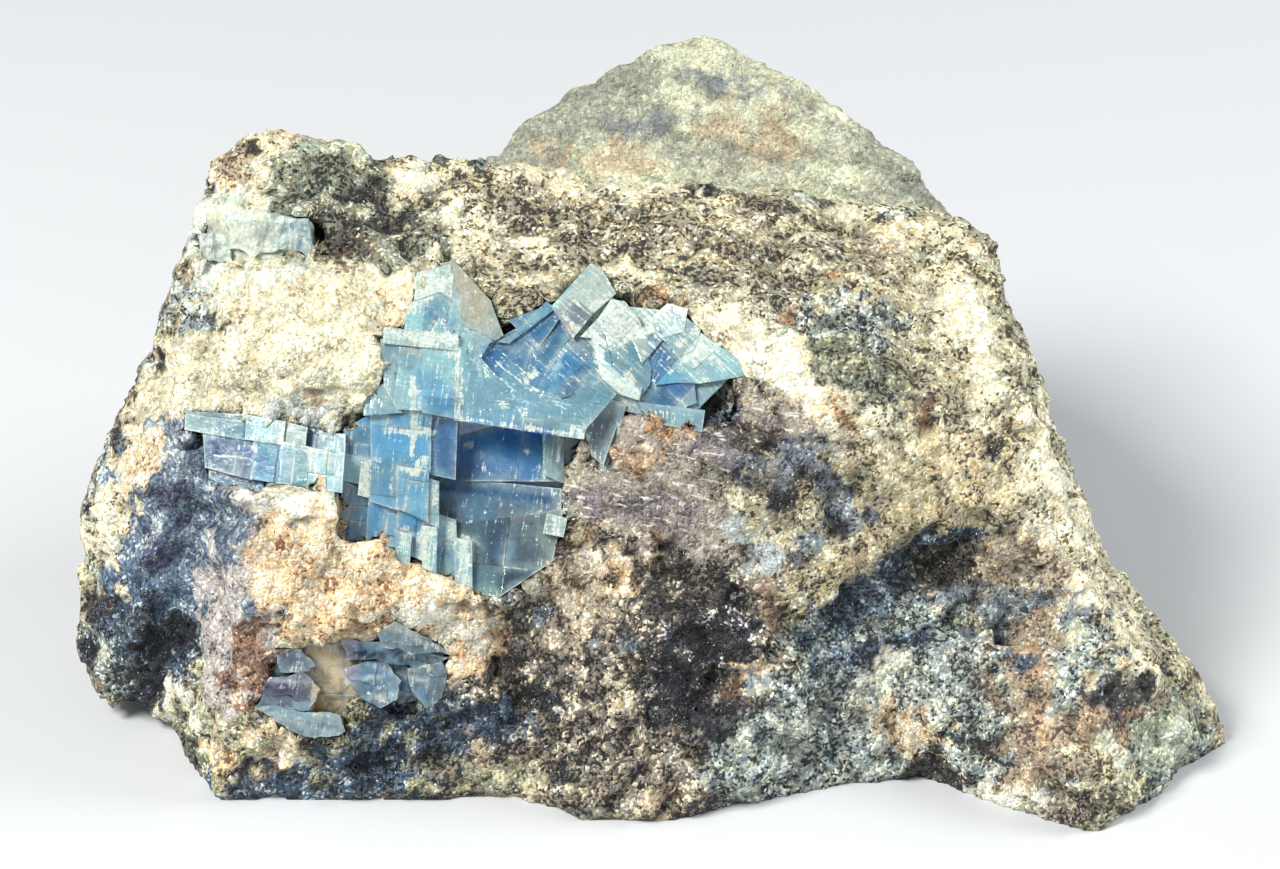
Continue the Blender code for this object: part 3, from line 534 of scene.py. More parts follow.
def store(mesh: Mesh, name: str, values: Array, domain: str = "POINT") -> None:
    """Keeps up to four numbers for every corner of a mesh as a colour attribute.

    Args:
        mesh: The mesh that gets the attribute.
        name: Name by which its material reads it.
        values: One row of up to four numbers for each element.
        domain: POINT for corners, or CORNER for the corners of each face.
    """
    rows = np.ones((len(values), 4), np.float32)
    rows[:, : values.shape[1]] = values
    layer = mesh.attributes.new(name, "FLOAT_COLOR", domain)
    layer.data.foreach_set("color", rows.ravel())


def tree_of(points: list) -> KDTree:
    """Sorts points for finding the nearest, in the order in which they are given.

    Args:
        points: Positions, three numbers each.

    Returns:
        The tree, whose indices are the points' own.
    """
    tree = KDTree(len(points))
    for number, point in enumerate(points):
        tree.insert(point, number)
    tree.balance()
    return tree


def noise_field(points: Array, size: float, shift: float = 0.0) -> Array:
    """Smooth noise from about -1 to 1 at points in mm. Its waves are size mm long, and shift moves them."""
    return np.array([noise.noise(point) for point in (points / size + shift).tolist()])


def chip_field(points: Array, size: float) -> Array:
    """Works out the height of small flat chips, each tipped its own way.

    Args:
        points: Positions in mm, one a row.
        size: Size of the chips in mm.

    Returns:
        A height in mm for each point.
    """
    heights = np.empty(len(points))
    for number, point in enumerate((points / size).tolist()):
        middle = noise.voronoi(point)[1][0]
        tip = noise.cell_vector(middle * 31.7) - Vector((0.5, 0.5, 0.5))
        heights[number] = (Vector(point) - middle).dot(tip) * size * 2.0
    return heights


def grain_field(points: Array, size: float) -> tuple[Array, Array]:
    """Finds the cluster of grains that each point belongs to.

    Args:
        points: Positions in mm, one a row.
        size: Size of the clusters in mm.

    Returns:
        The middle of each point's cluster in mm, and three numbers from -0.5 to 0.5 drawn for the cluster.
    """
    middles = np.empty((len(points), 3))
    drawn = np.empty((len(points), 3))
    for number, point in enumerate((points / size).tolist()):
        middle = noise.voronoi(point)[1][0]
        middles[number] = middle * size
        drawn[number] = noise.cell_vector(middle * 27.3)
    return middles, drawn - 0.5


class FrontHeights:
    """How far out the front of a CAD node lies at places of the display face."""

    def __init__(self, face: DisplayFace, node: str, step: float = 0.3, blur: float = 2.2) -> None:
        """Takes the heights on a grid.

        Args:
            face: The display face.
            node: Name of the CAD node.
            step: Distance between the places in mm.
            blur: Width of the blur that gives the mean height, in mm.
        """
        self.face, self.node, self.step, self.blur = face, node, step, blur
        seen = face.places(corners(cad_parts[node].data))
        self.low, self.high = seen.min(axis=0) - 2.0, seen.max(axis=0) + 2.0
        surface = surface_of(node)
        start = face.viewpoint()
        across, up, _ = face.axes()
        self.columns, self.rows = (np.arange(self.low[axis], self.high[axis], step) for axis in (0, 1))
        depths = np.full((len(self.columns), len(self.rows)), np.nan)
        self.hits = []
        for i, u in enumerate(self.columns):
            for j, v in enumerate(self.rows):
                aim = Vector(np.array(face.centre) + (across * u + up * v) * MM)
                found = surface.ray_cast(start, (aim - start).normalized())[0]
                if found is not None:
                    depths[i, j] = face.places(np.array([found]))[0, 2]
                    self.hits.append((u, v, depths[i, j]))
        self.tree = tree_of([(u, v, 0.0) for u, v, _ in self.hits])
        hit = ~np.isnan(depths)
        total = self._blurred(np.where(hit, depths, 0.0))
        self.mean_grid = total / (self._blurred(hit.astype(float)) + 1e-6)

    def _blurred(self, grid: Array) -> Array:
        """Blurs a grid along both of its sides.

        Args:
            grid: The values.

        Returns:
            The blurred values.
        """
        reach = int(3 * self.blur / self.step)
        kernel = np.exp(-((np.arange(-reach, reach + 1) * self.step / self.blur) ** 2))
        for axis in (0, 1):
            grid = np.apply_along_axis(lambda line: np.convolve(line, kernel, "same"), axis, grid)
        return grid / kernel.sum() ** 2

    def nearest(self, across: float, up: float) -> tuple[Vector, float, float]:
        """The nearest place where the node is seen, its height there and how far away it is, in mm."""
        place, number, away = self.tree.find((across, up, 0.0))
        return place, self.hits[number][2], away

    def mean(self, places: Array) -> Array:
        """Reads the blurred height of the front around some places.

        Args:
            places: Places on the display face.

        Returns:
            The heights in mm.
        """
        cells = []
        for axis, line in enumerate((self.columns, self.rows)):
            steps = ((places[:, axis] - line[0]) / self.step).round().astype(int)
            cells.append(np.clip(steps, 0, len(line) - 1))
        return self.mean_grid[tuple(cells)]


# ---- Materials ----


class NodeSheet:
    """Lays out the nodes of one material."""

    def __init__(self, name: str) -> None:
        """Starts a material with a Principled shader.

        Args:
            name: Name of the material.
        """
        self.material = bpy.data.materials.new(name)
        self.material.use_nodes = True
        self.tree = self.material.node_tree
        self.shader = self.tree.nodes["Principled BSDF"]

    def node(self, kind: str, inputs: dict | None = None, **settings: object) -> Node:
        """Adds a node.

        Args:
            kind: Blender's name of the node type without "ShaderNode".
            inputs: Values or sockets by input name or number.
            **settings: The node's own properties.

        Returns:
            The new node.
        """
        made = self.tree.nodes.new("ShaderNode" + kind)
        for name, value in settings.items():
            setattr(made, name, value)
        for name, value in (inputs or {}).items():
            self.put(made.inputs[name], value)
        return made

    def put(self, socket: Socket, value: Value) -> None:
        """Joins a socket to another, or sets its value.

        Args:
            socket: The input.
            value: What goes into it.
        """
        if isinstance(value, bpy.types.NodeSocket):
            self.tree.links.new(value, socket)
        elif isinstance(value, tuple) and socket.type == "RGBA":
            socket.default_value = (*value[:3], 1.0)
        else:
            socket.default_value = value

    def set(self, **values: Value) -> None:
        """Sets the shader's inputs. Spaces in their names are written as underscores."""
        for name, value in values.items():
            self.put(self.shader.inputs[name.replace("_", " ")], value)

    def math(self, operation: str, *values: Value, clamp: bool = False) -> Socket:
        """Works out one number from others."""
        made = self.node("Math", dict(enumerate(values)), operation=operation, use_clamp=clamp)
        return made.outputs[0]

    def vector(self, operation: str, *values: Value) -> Socket:
        """Works out one vector from others, or from a vector and the number that scales it."""
        keys = (0, "Scale") if operation == "SCALE" else (0, 1)
        return self.node("VectorMath", dict(zip(keys, values)), operation=operation).outputs[0]

    def mix(self, share: Value, first: Value, second: Value) -> Socket:
        """Blends two colours.

        Args:
            share: Share of the second colour.
            first: The first colour.
            second: The second colour.

        Returns:
            The blend.
        """
        made = self.node("Mix", data_type="RGBA")
        for identifier, value in (("Factor_Float", share), ("A_Color", first), ("B_Color", second)):
            self.put(next(s for s in made.inputs if s.identifier == identifier), value)
        return next(s for s in made.outputs if s.identifier == "Result_Color")

    def rise(self, value: Value, low: Value, high: Value, first: Value = 0.0, last: Value = 1.0) -> Socket:
        """Runs smoothly from the first result, where the value is low, to the last, where it is high."""
        inputs = {"Value": value, "From Min": low, "From Max": high, "To Min": first, "To Max": last}
        return self.node("MapRange", inputs, interpolation_type="SMOOTHSTEP").outputs[0]

    def attribute(self, name: str) -> Node:
        """Reads an attribute of the mesh."""
        return self.node("Attribute", attribute_name=name)

    def noise(self, place: Value, size: float, detail: float = 2.0, roughness: float = 0.5) -> Node:
        """Noise whose waves are about size mm long."""
        inputs = {"Vector": place, "Scale": 1.0 / size, "Detail": detail, "Roughness": roughness}
        return self.node("TexNoise", inputs)

    def cells(self, place: Value, size: float, **settings: str) -> Node:
        """Irregular cells about size mm wide."""
        return self.node("TexVoronoi", {"Vector": place, "Scale": 1.0 / size}, **settings)

    def parts(self, vector: Value) -> list[Socket]:
        """The three numbers of a vector or colour."""
        return list(self.node("SeparateXYZ", {0: vector}).outputs)

    def joined(self, x: Value, y: Value, z: Value) -> Socket:
        """A vector of three numbers."""
        return self.node("CombineXYZ", {0: x, 1: y, 2: z}).outputs[0]

    def place_mm(self) -> Socket:
        """The place on the object in millimetres."""
        place = self.node("TexCoord").outputs["Object"]
        return self.vector("SCALE", place, 1.0 / MM)


@dataclass(frozen=True)
class GranularFinish:
    """The rock's grains: their colours come from the mesh, their pattern from cells.

    Attributes:
        fine: Size of the smallest grains, in mm.
        coarse: Size of the clusters they stand in, in mm.
        clump: Size of the patches that are darker or paler than the rest, in mm.
        weights: How much the grain, its cluster and its clump count for its rank.
        blur: Half the range of ranks over which one colour passes into the next.
        tip: How far each grain's face is turned from the surface.
        bump: Height of the grains, in mm.
        streak: Colour of the painted sheen along the cleavage lines.
    """

    fine: float = 0.27
    coarse: float = 0.9
    clump: float = 2.2
    weights: tuple[float, float, float] = (0.47, 0.17, 0.36)
    blur: float = 0.05
    tip: float = 0.75
    bump: float = 0.16
    streak: str = "e4e2dc"

    def build(self) -> bpy.types.Material:
        """Builds the material.

        Returns:
            The material of the rock.
        """
        sheet = NodeSheet("skarn_grains")
        body, dark, pale, habit = (sheet.attribute(name) for name in ("body", "dark", "pale", "habit"))
        foliation, streaks, painted_relief_shade = sheet.parts(habit.outputs["Color"])
        contrast, gloss = habit.outputs["Alpha"], body.outputs["Alpha"]
        place = sheet.place_mm()
        bend = sheet.noise(place, 0.8, 2.0).outputs["Color"]
        bend = sheet.vector("SCALE", sheet.vector("SUBTRACT", bend, (0.5, 0.5, 0.5)), 0.16)
        bent = sheet.vector("ADD", place, bend)
        fine, coarse = sheet.cells(bent, self.fine), sheet.cells(bent, self.coarse)
        rank_fine, shade, sparkle = sheet.parts(fine.outputs["Color"])
        rank = self._rank(sheet, place, foliation, rank_fine, sheet.parts(coarse.outputs["Color"])[0])
        color = body.outputs["Color"]
        for grain, above, below in ((dark, 1.0, 0.0), (pale, 0.0, 1.0)):
            limits = [sheet.math(side, grain.outputs["Alpha"], self.blur) for side in ("SUBTRACT", "ADD")]
            color = sheet.mix(sheet.rise(rank, *limits, above, below), color, grain.outputs["Color"])
        shade = sheet.math("MULTIPLY", sheet.math("SUBTRACT", shade, 0.55), contrast)
        color = sheet.vector("SCALE", color, sheet.math("MULTIPLY_ADD", shade, 0.75, 1.0))
        color = self._varied(sheet, bent, color, coarse, contrast)
        # Painted sheen: thin white lines along the cleavage of the grains.
        color = sheet.mix(self._painted_sheen_lines(sheet, streaks), color, tone(self.streak))
        # Painted shade: the colour is darkened in the cracks between grain clusters and in the low places of
        # the relief, and lightened on its raised lumps.
        grain_crevice_shade = sheet.cells(bent, self.coarse, feature="DISTANCE_TO_EDGE").outputs[0]
        grain_crevice_shade = sheet.rise(grain_crevice_shade, 0.0, 0.05, 0.62, 1.0)
        color = sheet.vector("SCALE", color, sheet.math("MULTIPLY", grain_crevice_shade, painted_relief_shade))
        rough = sheet.math("MULTIPLY", sheet.math("POWER", sparkle, 3.0), sheet.math("ADD", gloss, 0.15))
        rough = sheet.math("MAXIMUM", sheet.math("SUBTRACT", 0.72, rough, clamp=True), 0.22)
        normal = self._normal(sheet, place, fine, coarse)
        sheet.set(Base_Color=color, Roughness=rough, Specular_IOR_Level=0.5, Normal=normal)
        return sheet.material

    def _rank(
        self, sheet: NodeSheet, place: Socket, foliation: Socket, fine: Socket, coarse: Socket
    ) -> Socket:
        """Ranks each grain from dark to pale.

        Args:
            sheet: The material's nodes.
            place: Where a point lies, in mm.
            foliation: How strongly the clumps are drawn out in bands.
            fine: Chance number of the grain.
            coarse: Chance number of its cluster.

        Returns:
            The rank, from 0 to 1.
        """
        flow = sheet.attribute("flow").outputs["Color"]
        loose, banded = (sheet.noise(where, self.clump, 4.0, 0.6).outputs[0] for where in (place, flow))
        banded = sheet.math("SUBTRACT", banded, loose)
        clump = sheet.rise(sheet.math("MULTIPLY_ADD", banded, foliation, loose), 0.3, 0.7)
        for_fine, for_coarse, for_clump = self.weights
        rank = sheet.math("MULTIPLY_ADD", fine, for_fine, sheet.math("MULTIPLY", coarse, for_coarse))
        return sheet.math("MULTIPLY_ADD", clump, for_clump, rank)

    def _varied(
        self, sheet: NodeSheet, place: Socket, color: Socket, coarse: Node, contrast: Socket
    ) -> Socket:
        """Turns some clusters warmer and others cooler, and strews a few rusty grains.

        Args:
            sheet: The material's nodes.
            place: Where a point lies, in mm.
            color: The colour so far.
            coarse: The cells of the clusters.
            contrast: How strongly the colours vary.

        Returns:
            The new colour.
        """
        warm = sheet.math("SUBTRACT", sheet.parts(coarse.outputs["Color"])[1], 0.5)
        warm = sheet.math("MULTIPLY", warm, sheet.math("MULTIPLY", contrast, contrast))
        red, blue = (sheet.math("MULTIPLY_ADD", warm, change, 1.0) for change in (0.13, -0.24))
        color = sheet.vector("MULTIPLY", color, sheet.joined(red, 1.0, blue))
        chosen = sheet.parts(sheet.cells(place, self.fine * 1.6).outputs["Color"])[0]
        rusty = sheet.vector("MULTIPLY", color, (0.96, 0.72, 0.5))
        share = sheet.math("MULTIPLY", sheet.rise(chosen, 0.945, 0.96, 0.0, 0.7), contrast)
        return sheet.mix(share, color, rusty)

    def _painted_sheen_lines(self, sheet: NodeSheet, strength: Socket) -> Socket:
        """Draws thin white lines where cleavage planes come out of the surface, painted as the sheen of those
        planes.

        Args:
            sheet: The material's nodes.
            strength: How strongly they show.

        Returns:
            How white the surface is, from 0 to 1.
        """
        across, up, _ = sheet.parts(sheet.attribute("display").outputs["Color"])
        lean = sheet.math("MULTIPLY_ADD", across, 0.24, up)
        lines = sheet.noise(sheet.joined(sheet.math("MULTIPLY", across, 0.2), lean, 0.0), 0.4, 2.0, 0.5)
        return sheet.math("MULTIPLY", sheet.rise(lines.outputs[0], 0.59, 0.67, 0.0, 0.85), strength)

    def _normal(self, sheet: NodeSheet, place: Socket, fine: Node, coarse: Node) -> Socket:
        """Rounds the grains and turns each one's face its own way.

        Args:
            sheet: The material's nodes.
            place: Where a point lies, in mm.
            fine: The cells of the grains.
            coarse: The cells of the clusters.

        Returns:
            The normal.
        """
        grit = sheet.math("MULTIPLY", sheet.noise(place, 0.12, 2.0).outputs[0], 0.08)
        height = sheet.math("MULTIPLY_ADD", fine.outputs["Distance"], -self.fine, grit)
        height = sheet.math("MULTIPLY_ADD", coarse.outputs["Distance"], -self.coarse * 0.5, height)
        bump = {"Strength": 0.8, "Distance": self.bump * MM / 0.3, "Height": height}
        turned = sheet.vector("SUBTRACT", fine.outputs["Color"], (0.5, 0.5, 0.5))
        turned = sheet.vector("SCALE", turned, self.tip)
        return sheet.vector("NORMALIZE", sheet.vector("ADD", sheet.node("Bump", bump).outputs[0], turned))


@dataclass(frozen=True)
class CleavageFinish:
    """Calcite that breaks in flat glassy faces: tinted, a little see-through, whitened where it has cracked,
    with a highlight painted along its sharp edges.

    Attributes:
        name: Name of the material.
        clear: Share of light that passes through.
        cloud: Colour of the cloudy parts.
        haze: Share of cloud where it is thickest.
        rim_highlight: Share of cloud colour painted along the sharp edges as a soft highlight.
        dots: How strongly small white dots show.
        mosaic: How much neighbouring parts of one block differ.
        rough: Roughness of clean faces.
        frost_and_highlight: Colours of the frosted parts and of the highlight painted along the sharp edges.
    """

    name: str
    clear: float = 0.35
    cloud: str = "a6c2c8"
    haze: float = 0.3
    rim_highlight: float = 0.5
    dots: float = 0.8
    mosaic: float = 0.16
    rough: float = 0.12
    frost_and_highlight: tuple[str, str] = ("b2ccca", "eef4e6")

    def build(self) -> bpy.types.Material:
        """Builds the material.

        Returns:
            The material of one body of calcite.
        """
        sheet = NodeSheet(self.name)
        crisp, soft = sheet.attribute("tone"), sheet.attribute("soft_tone")
        frost = sheet.math("ADD", soft.outputs["Alpha"], crisp.outputs["Alpha"])
        rim = sheet.parts(sheet.attribute("rim").outputs["Color"])[0]
        along, over, out = sheet.parts(sheet.attribute("cleave").outputs["Color"])
        place = sheet.place_mm()
        veil = sheet.noise(place, 2.6, 3.0, 0.55).outputs[0]
        grit = sheet.noise(place, 0.3, 4.0, 0.7).outputs[0]
        lines, cross = self._lines(sheet, along, over, out), self._lines(sheet, over, along, out)
        color = sheet.vector("MULTIPLY", soft.outputs["Color"], crisp.outputs["Color"])
        color = sheet.mix(sheet.rise(veil, 0.48, 0.74, 0.0, self.haze), color, tone(self.cloud))
        # Painted highlight: a soft pale glow of cloud colour along the sharp edges, as if they caught the
        # light.
        rim_highlight = sheet.rise(veil, 0.35, 0.65, 0.1, self.rim_highlight)
        rim_highlight = sheet.math("MULTIPLY", sheet.rise(rim, 0.25, 1.0), rim_highlight)
        color = sheet.mix(rim_highlight, color, tone(self.cloud))
        steps = sheet.cells(sheet.joined(along, over, 0.0), 1.0 / 0.55, distance="CHEBYCHEV")
        shade = sheet.parts(steps.outputs["Color"])[0]
        shade = sheet.math("MULTIPLY_ADD", shade, self.mosaic, 1.0 - self.mosaic * 0.5)
        shade = sheet.math("MULTIPLY", shade, sheet.rise(lines, 0.25, 0.75, 0.94, 1.06))
        shade = sheet.math("MULTIPLY", shade, sheet.rise(grit, 0.3, 0.7, 0.86, 1.14))
        white = self._white(sheet, place, frost, lines, cross, grit)
        # Painted highlight: a thin white line right along the sharp edges, in the frost colours.
        edge = sheet.math("MULTIPLY", sheet.rise(rim, 0.84, 1.0), sheet.rise(veil, 0.38, 0.62, 0.1, 0.75))
        white = sheet.math("MAXIMUM", white, edge)
        frost_and_highlight = sheet.mix(sheet.rise(grit, 0.35, 0.65), *(tone(code) for code in self.frost_and_highlight))
        color = sheet.mix(white, sheet.vector("SCALE", color, shade), frost_and_highlight)
        height = sheet.math("MULTIPLY_ADD", lines, 0.5, sheet.math("MULTIPLY_ADD", grit, 0.6, shade))
        bump = sheet.node("Bump", {"Strength": 0.3, "Distance": 0.05 * MM, "Height": height}).outputs[0]
        rough = sheet.math("MULTIPLY_ADD", white, 0.35, self.rough)
        sheet.set(Base_Color=color, Roughness=rough, IOR=1.6, Transmission_Weight=self.clear, Normal=bump)
        sheet.set(Subsurface_Weight=0.3, Subsurface_Scale=0.8 * MM, Subsurface_Radius=(0.7, 1.0, 1.3))
        return sheet.material

    def _lines(self, sheet: NodeSheet, fast: Socket, slow: Socket, out: Socket) -> Socket:
        """Noise that is drawn out in one direction, for the traces of cleavage."""
        place = sheet.joined(sheet.math("MULTIPLY", fast, 3.6), sheet.math("MULTIPLY", slow, 0.28), out)
        return sheet.noise(place, 0.9, 3.0, 0.6).outputs[0]

    def _white(
        self, sheet: NodeSheet, place: Socket, frost: Socket, lines: Socket, cross: Socket, grit: Socket
    ) -> Socket:
        """Whitens the calcite in ragged streaks where it is frosted, and in small dots all over.

        Args:
            sheet: The material's nodes.
            place: Where a point lies, in mm.
            frost: How frosted it is.
            lines: Noise drawn out along the blocks.
            cross: Noise drawn out over them.
            grit: Fine noise.

        Returns:
            How white it is, from 0 to 1.
        """
        ragged = sheet.math("MULTIPLY_ADD", lines, 2.3, sheet.math("MULTIPLY_ADD", cross, 0.9, frost))
        ragged = sheet.math("MULTIPLY_ADD", grit, 0.7, ragged)
        white = sheet.rise(ragged, 2.3, 2.75, 0.0, 0.94)
        speck = sheet.cells(place, 0.42)
        small = sheet.rise(speck.outputs["Distance"], 0.05, 0.15, 1.0, 0.0)
        chosen = sheet.rise(sheet.parts(speck.outputs["Color"])[0], 0.7, 0.9)
        dots = sheet.math("MULTIPLY", sheet.math("MULTIPLY", small, chosen), self.dots)
        return sheet.math("MAXIMUM", white, dots)


# ---- The rock ----


@dataclass
class SkarnRock:
    """The broken block of skarn.

    Attributes:
        face: The display face.
        fronts: For each node of calcite, the heights of its front.
        laps: For the same nodes, how far the rock laps over each at most, in mm.
        grid: Size of the faces of its fine mesh, in metres.
        gap: Space that is left between the rock and the calcite, in metres.
        reach: Rock nearer than this to the calcite is drawn up to it, in metres.
        level: Rock nearer than this to the calcite is brought level with it, in mm.
        cluster: Size of the clusters of grains of one mineral, in mm.
        ragged: How far a patch's edge wanders, as a share of its half width.
        cover: How fully a patch hides what lies under it.
        lumps: Size of its lumps and knobs, height of each and shift of its pattern, in mm.
        chips: Size of its large and small chips in mm, and how far each stands out.
        finish: Its surface.
    """

    face: DisplayFace
    fronts: dict[str, FrontHeights]
    laps: dict[str, float]
    grid: float = 0.52 * MM
    gap: float = 0.04 * MM
    reach: float = 0.8 * MM
    level: float = 2.4
    cluster: float = 1.15
    ragged: float = 0.55
    cover: float = 0.92
    lumps: tuple[tuple[float, float, float], ...] = ((2.6, 0.28, 5.5), (0.95, 0.18, 9.5))
    chips: tuple[tuple[float, float], ...] = ((3.1, 0.3), (1.3, 0.32))
    finish: GranularFinish = field(default_factory=GranularFinish)

    def __post_init__(self) -> None:
        """Takes the CAD rock's surface, on which patches and bosses are placed."""
        self.surface = surface_of("matrix_rock")

    def build(self) -> Piece:
        """Builds the rock with its fine relief and its minerals.

        Returns:
            The rock's object.
        """
        rock = self._fine_mesh()
        mesh = rock.data
        points = corners(mesh)
        places = self.face.places(points)
        grains = self._paint(mesh, points / MM, places)
        raised = self._relief(mesh, points, places, grains)
        raised, lapping = self._meet_calcite(raised)
        move_corners(mesh, self._close_seams(raised, lapping))
        mesh.shade_smooth()
        dress(mesh, self.finish.build())
        return rock

    def _fine_mesh(self) -> Piece:
        """Copies the CAD rock and gives it small even faces.

        Returns:
            The rock's object.
        """
        rock = add_piece("skarn_rock", copy_of_node("matrix_rock"))
        remesh = rock.modifiers.new("small_faces", "REMESH")
        remesh.mode = "VOXEL"
        remesh.voxel_size = self.grid
        evaluated = rock.evaluated_get(bpy.context.evaluated_depsgraph_get())
        fine = bpy.data.meshes.new_from_object(evaluated)
        rock.modifiers.clear()
        rock.data = fine
        fine.name = "skarn_rock"
        return rock

    def _ellipse(self, places: Array, spot: Patch | Boss) -> Array:
        """Finds how far each place is from the middle of a patch or boss.

        Args:
            places: Places on the display face.
            spot: The patch or boss.

        Returns:
            The distances, 1 at its edge.
        """
        turn = math.radians(spot.turn)
        across, up = places[:, 0] - spot.across, places[:, 1] - spot.up
        along = across * math.cos(turn) + up * math.sin(turn)
        over = up * math.cos(turn) - across * math.sin(turn)
        thick = spot.reach or min(max(spot.long, spot.short) * 1.2 + 1.5, 14.0)
        out = places[:, 2] - self.face.depth(self.surface, spot.across, spot.up)
        return np.sqrt((along / spot.long) ** 2 + (over / spot.short) ** 2 + (out / thick) ** 2)

    def _base_shares(self, points: Array, flow: Array, bedded: Array) -> Iterable[tuple[Mineral, Array]]:
        """Gives the minerals that the rock is made of where no patch lies.

        Args:
            points: The rock's corners in mm.
            flow: The same on the grid that bends with its grain.
            bedded: Where the minerals lie in bands, from 0 to 1.

        Returns:
            Each mineral with how strongly it covers those before it.
        """

        def waves(size: float, shift: float) -> Array:
            """Noise that is drawn out along the bands."""
            loose = noise_field(points, size, shift)
            return loose + (noise_field(flow, size, shift) - loose) * bedded

        first = waves(9.0, 3.1) + 0.45 * waves(3.0, 7.7)
        second = waves(7.0, 19.3) + 0.45 * waves(2.4, 1.9)
        third = waves(5.0, 41.3) + 0.5 * waves(1.8, 5.3)
        yield Mineral.SEA_GREY, smooth(first, 0.05, 0.2)
        yield Mineral.OLIVE_TAN, smooth(second, 0.1, 0.22)
        yield Mineral.CREAM, smooth(-first, 0.28, 0.38)
        yield Mineral.DARK_BROWN, smooth(-second, 0.26, 0.36)
        yield Mineral.PINK_TAN, smooth(third, 0.34, 0.44)
        yield Mineral.BLACK, smooth(-third, 0.46, 0.54)

    def _paint(self, mesh: Mesh, points: Array, places: Array) -> dict[str, Array]:
        """Lays the minerals over each other and keeps their colours and limits on the mesh.

        Args:
            mesh: The rock's fine mesh.
            points: Its corners in mm.
            places: The same on the display face.

        Returns:
            For each corner, the numbers by name.
        """
        first, count = Mineral.GREY_BROWN.value, len(points)
        colors = {key: np.tile(tone(getattr(first, key)), (count, 1)) for key in ("body", "dark", "pale")}
        names = ("dark_up_to", "pale_from", "relief", "gloss", "streaks")
        numbers = {key: np.full(count, getattr(first, key)) for key in names}

        def lay(mineral: Mineral, share: Array) -> None:
            """Covers what is there with a mineral.

            Args:
                mineral: The mineral.
                share: How fully it covers each corner.
            """
            for key, values in colors.items():
                values += (np.array(tone(getattr(mineral.value, key))) - values) * share[:, None]
            for key, values in numbers.items():
                values += (getattr(mineral.value, key) - values) * share

        flow = self._flow(places)
        bedded = smooth(places[:, 1], -9.0, -1.0) * smooth(places[:, 0], -16.0, -8.0)
        for mineral, share in self._base_shares(points, flow, bedded):
            lay(mineral, share)
        middles, drawn = grain_field(points + 0.35 * noise_field(points, 0.8, 4.0)[:, None], self.cluster)
        grouped = self.face.places(middles * MM) * 0.75 + places * 0.25
        wave = 0.45 * noise_field(points, 3.0, 11.0)
        for number, patch in enumerate(PATCHES):
            loose = self.ragged * min(1.0, 1.6 / patch.short) + 0.1
            edge = self._ellipse(grouped, patch) + drawn[:, number % 3] * 2.0 * loose + wave * (0.3 + loose)
            lay(patch.mineral, smooth(edge, 1.0 + patch.fade / 2, 1.0 - patch.fade / 2) * self.cover)
        numbers["foliation"] = bedded
        store(mesh, "flow", flow)
        store(mesh, "display", places)
        for key, number in (("body", "gloss"), ("dark", "dark_up_to"), ("pale", "pale_from")):
            store(mesh, key, np.column_stack([colors[key], numbers[number]]))
        return numbers

    def _flow(self, places: Array) -> Array:
        """Lays a grid that bends with the rock's grain and is drawn out along it.

        Args:
            places: Places on the display face.

        Returns:
            The same places on the grid, in mm.
        """
        across, up = places[:, 0] + 5.0, places[:, 1] + 22.0
        radius = np.hypot(across, up)
        around = np.arctan2(across, up) * 38.0
        return np.column_stack([around * 0.3, radius * 1.25, places[:, 2]])

    def _relief(self, mesh: Mesh, points: Array, places: Array, grains: dict[str, Array]) -> Array:
        """Raises lumps, chips and hollows, and keeps a painted shade for each corner: darker in the low
        places and lighter on the raised ones.

        Args:
            mesh: The rock's fine mesh.
            points: Its corners in metres.
            places: The same on the display face.
            grains: The numbers that _paint gives.

        Returns:
            The new corners in metres.
        """
        mm = points / MM
        rough = grains["relief"]
        lumps = sum(noise_field(mm, size, shift) * high for size, high, shift in self.lumps)
        chips = sum(chip_field(mm, size) * high for size, high in self.chips)
        outward = corners(mesh, "normal")
        facing = np.abs(outward @ self.face.axes()[2])
        small = (lumps + chips) * rough * (0.5 + 0.5 * smooth(facing, 0.05, 0.4))
        large = np.zeros(len(mm))
        for boss in BOSSES:
            edge = self._ellipse(places, boss) + 0.25 * noise_field(mm, 1.6, boss.across)
            large += boss.height * smooth(edge, 1.0 + boss.edge, 1.0 - boss.edge)
        height = small + large
        height *= smooth(mm[:, 2], 0.2, 1.4)
        # Painted shade and light: darker where the relief is low, lighter where it is raised, kept in the
        # habit attribute.
        painted_relief_shade = np.clip(0.92 + 0.55 * small + 0.12 * large, 0.42, 1.12)
        habit = np.column_stack([grains["foliation"], grains["streaks"], painted_relief_shade, np.minimum(rough, 1.0)])
        store(mesh, "habit", habit)
        return points + outward * height[:, None] * MM

    def _meet_calcite(self, points: Array) -> tuple[Array, Array]:
        """Brings the rock level with the calcite beside it, and over the calcite's edge here and there.

        Args:
            points: The rock's corners in metres.

        Returns:
            The new corners, and which of them lap over the calcite.
        """
        moved = points.copy()
        lapping = np.zeros(len(points), bool)
        across, up, out = self.face.axes()
        wander = noise_field(points / MM, 1.1, 21.0)
        for node, heights in self.fronts.items():
            places = self.face.places(moved)
            near = np.all((places > heights.low) & (places < heights.high), axis=1)
            for index in np.flatnonzero(near):
                u, v, depth = places[index]
                nearest, height, away = heights.nearest(u, v)
                rise = height - depth
                if away < heights.step or not -0.6 < rise < 3.0:
                    continue
                share = float(smooth(np.array(away), self.level, 0.4))
                moved[index] += out * MM * min(max(rise - 0.05, 0.0), 1.8) * share
                lap = max(0.0, wander[index]) * self.laps[node] * float(smooth(np.array(away), 0.9, 0.45))
                if lap > 0.1 and rise < 1.9:
                    toward = across * (nearest[0] - u) + up * (nearest[1] - v)
                    moved[index] += (toward / away * lap + out * 0.16) * MM
                    lapping[index] = True
        return moved, lapping

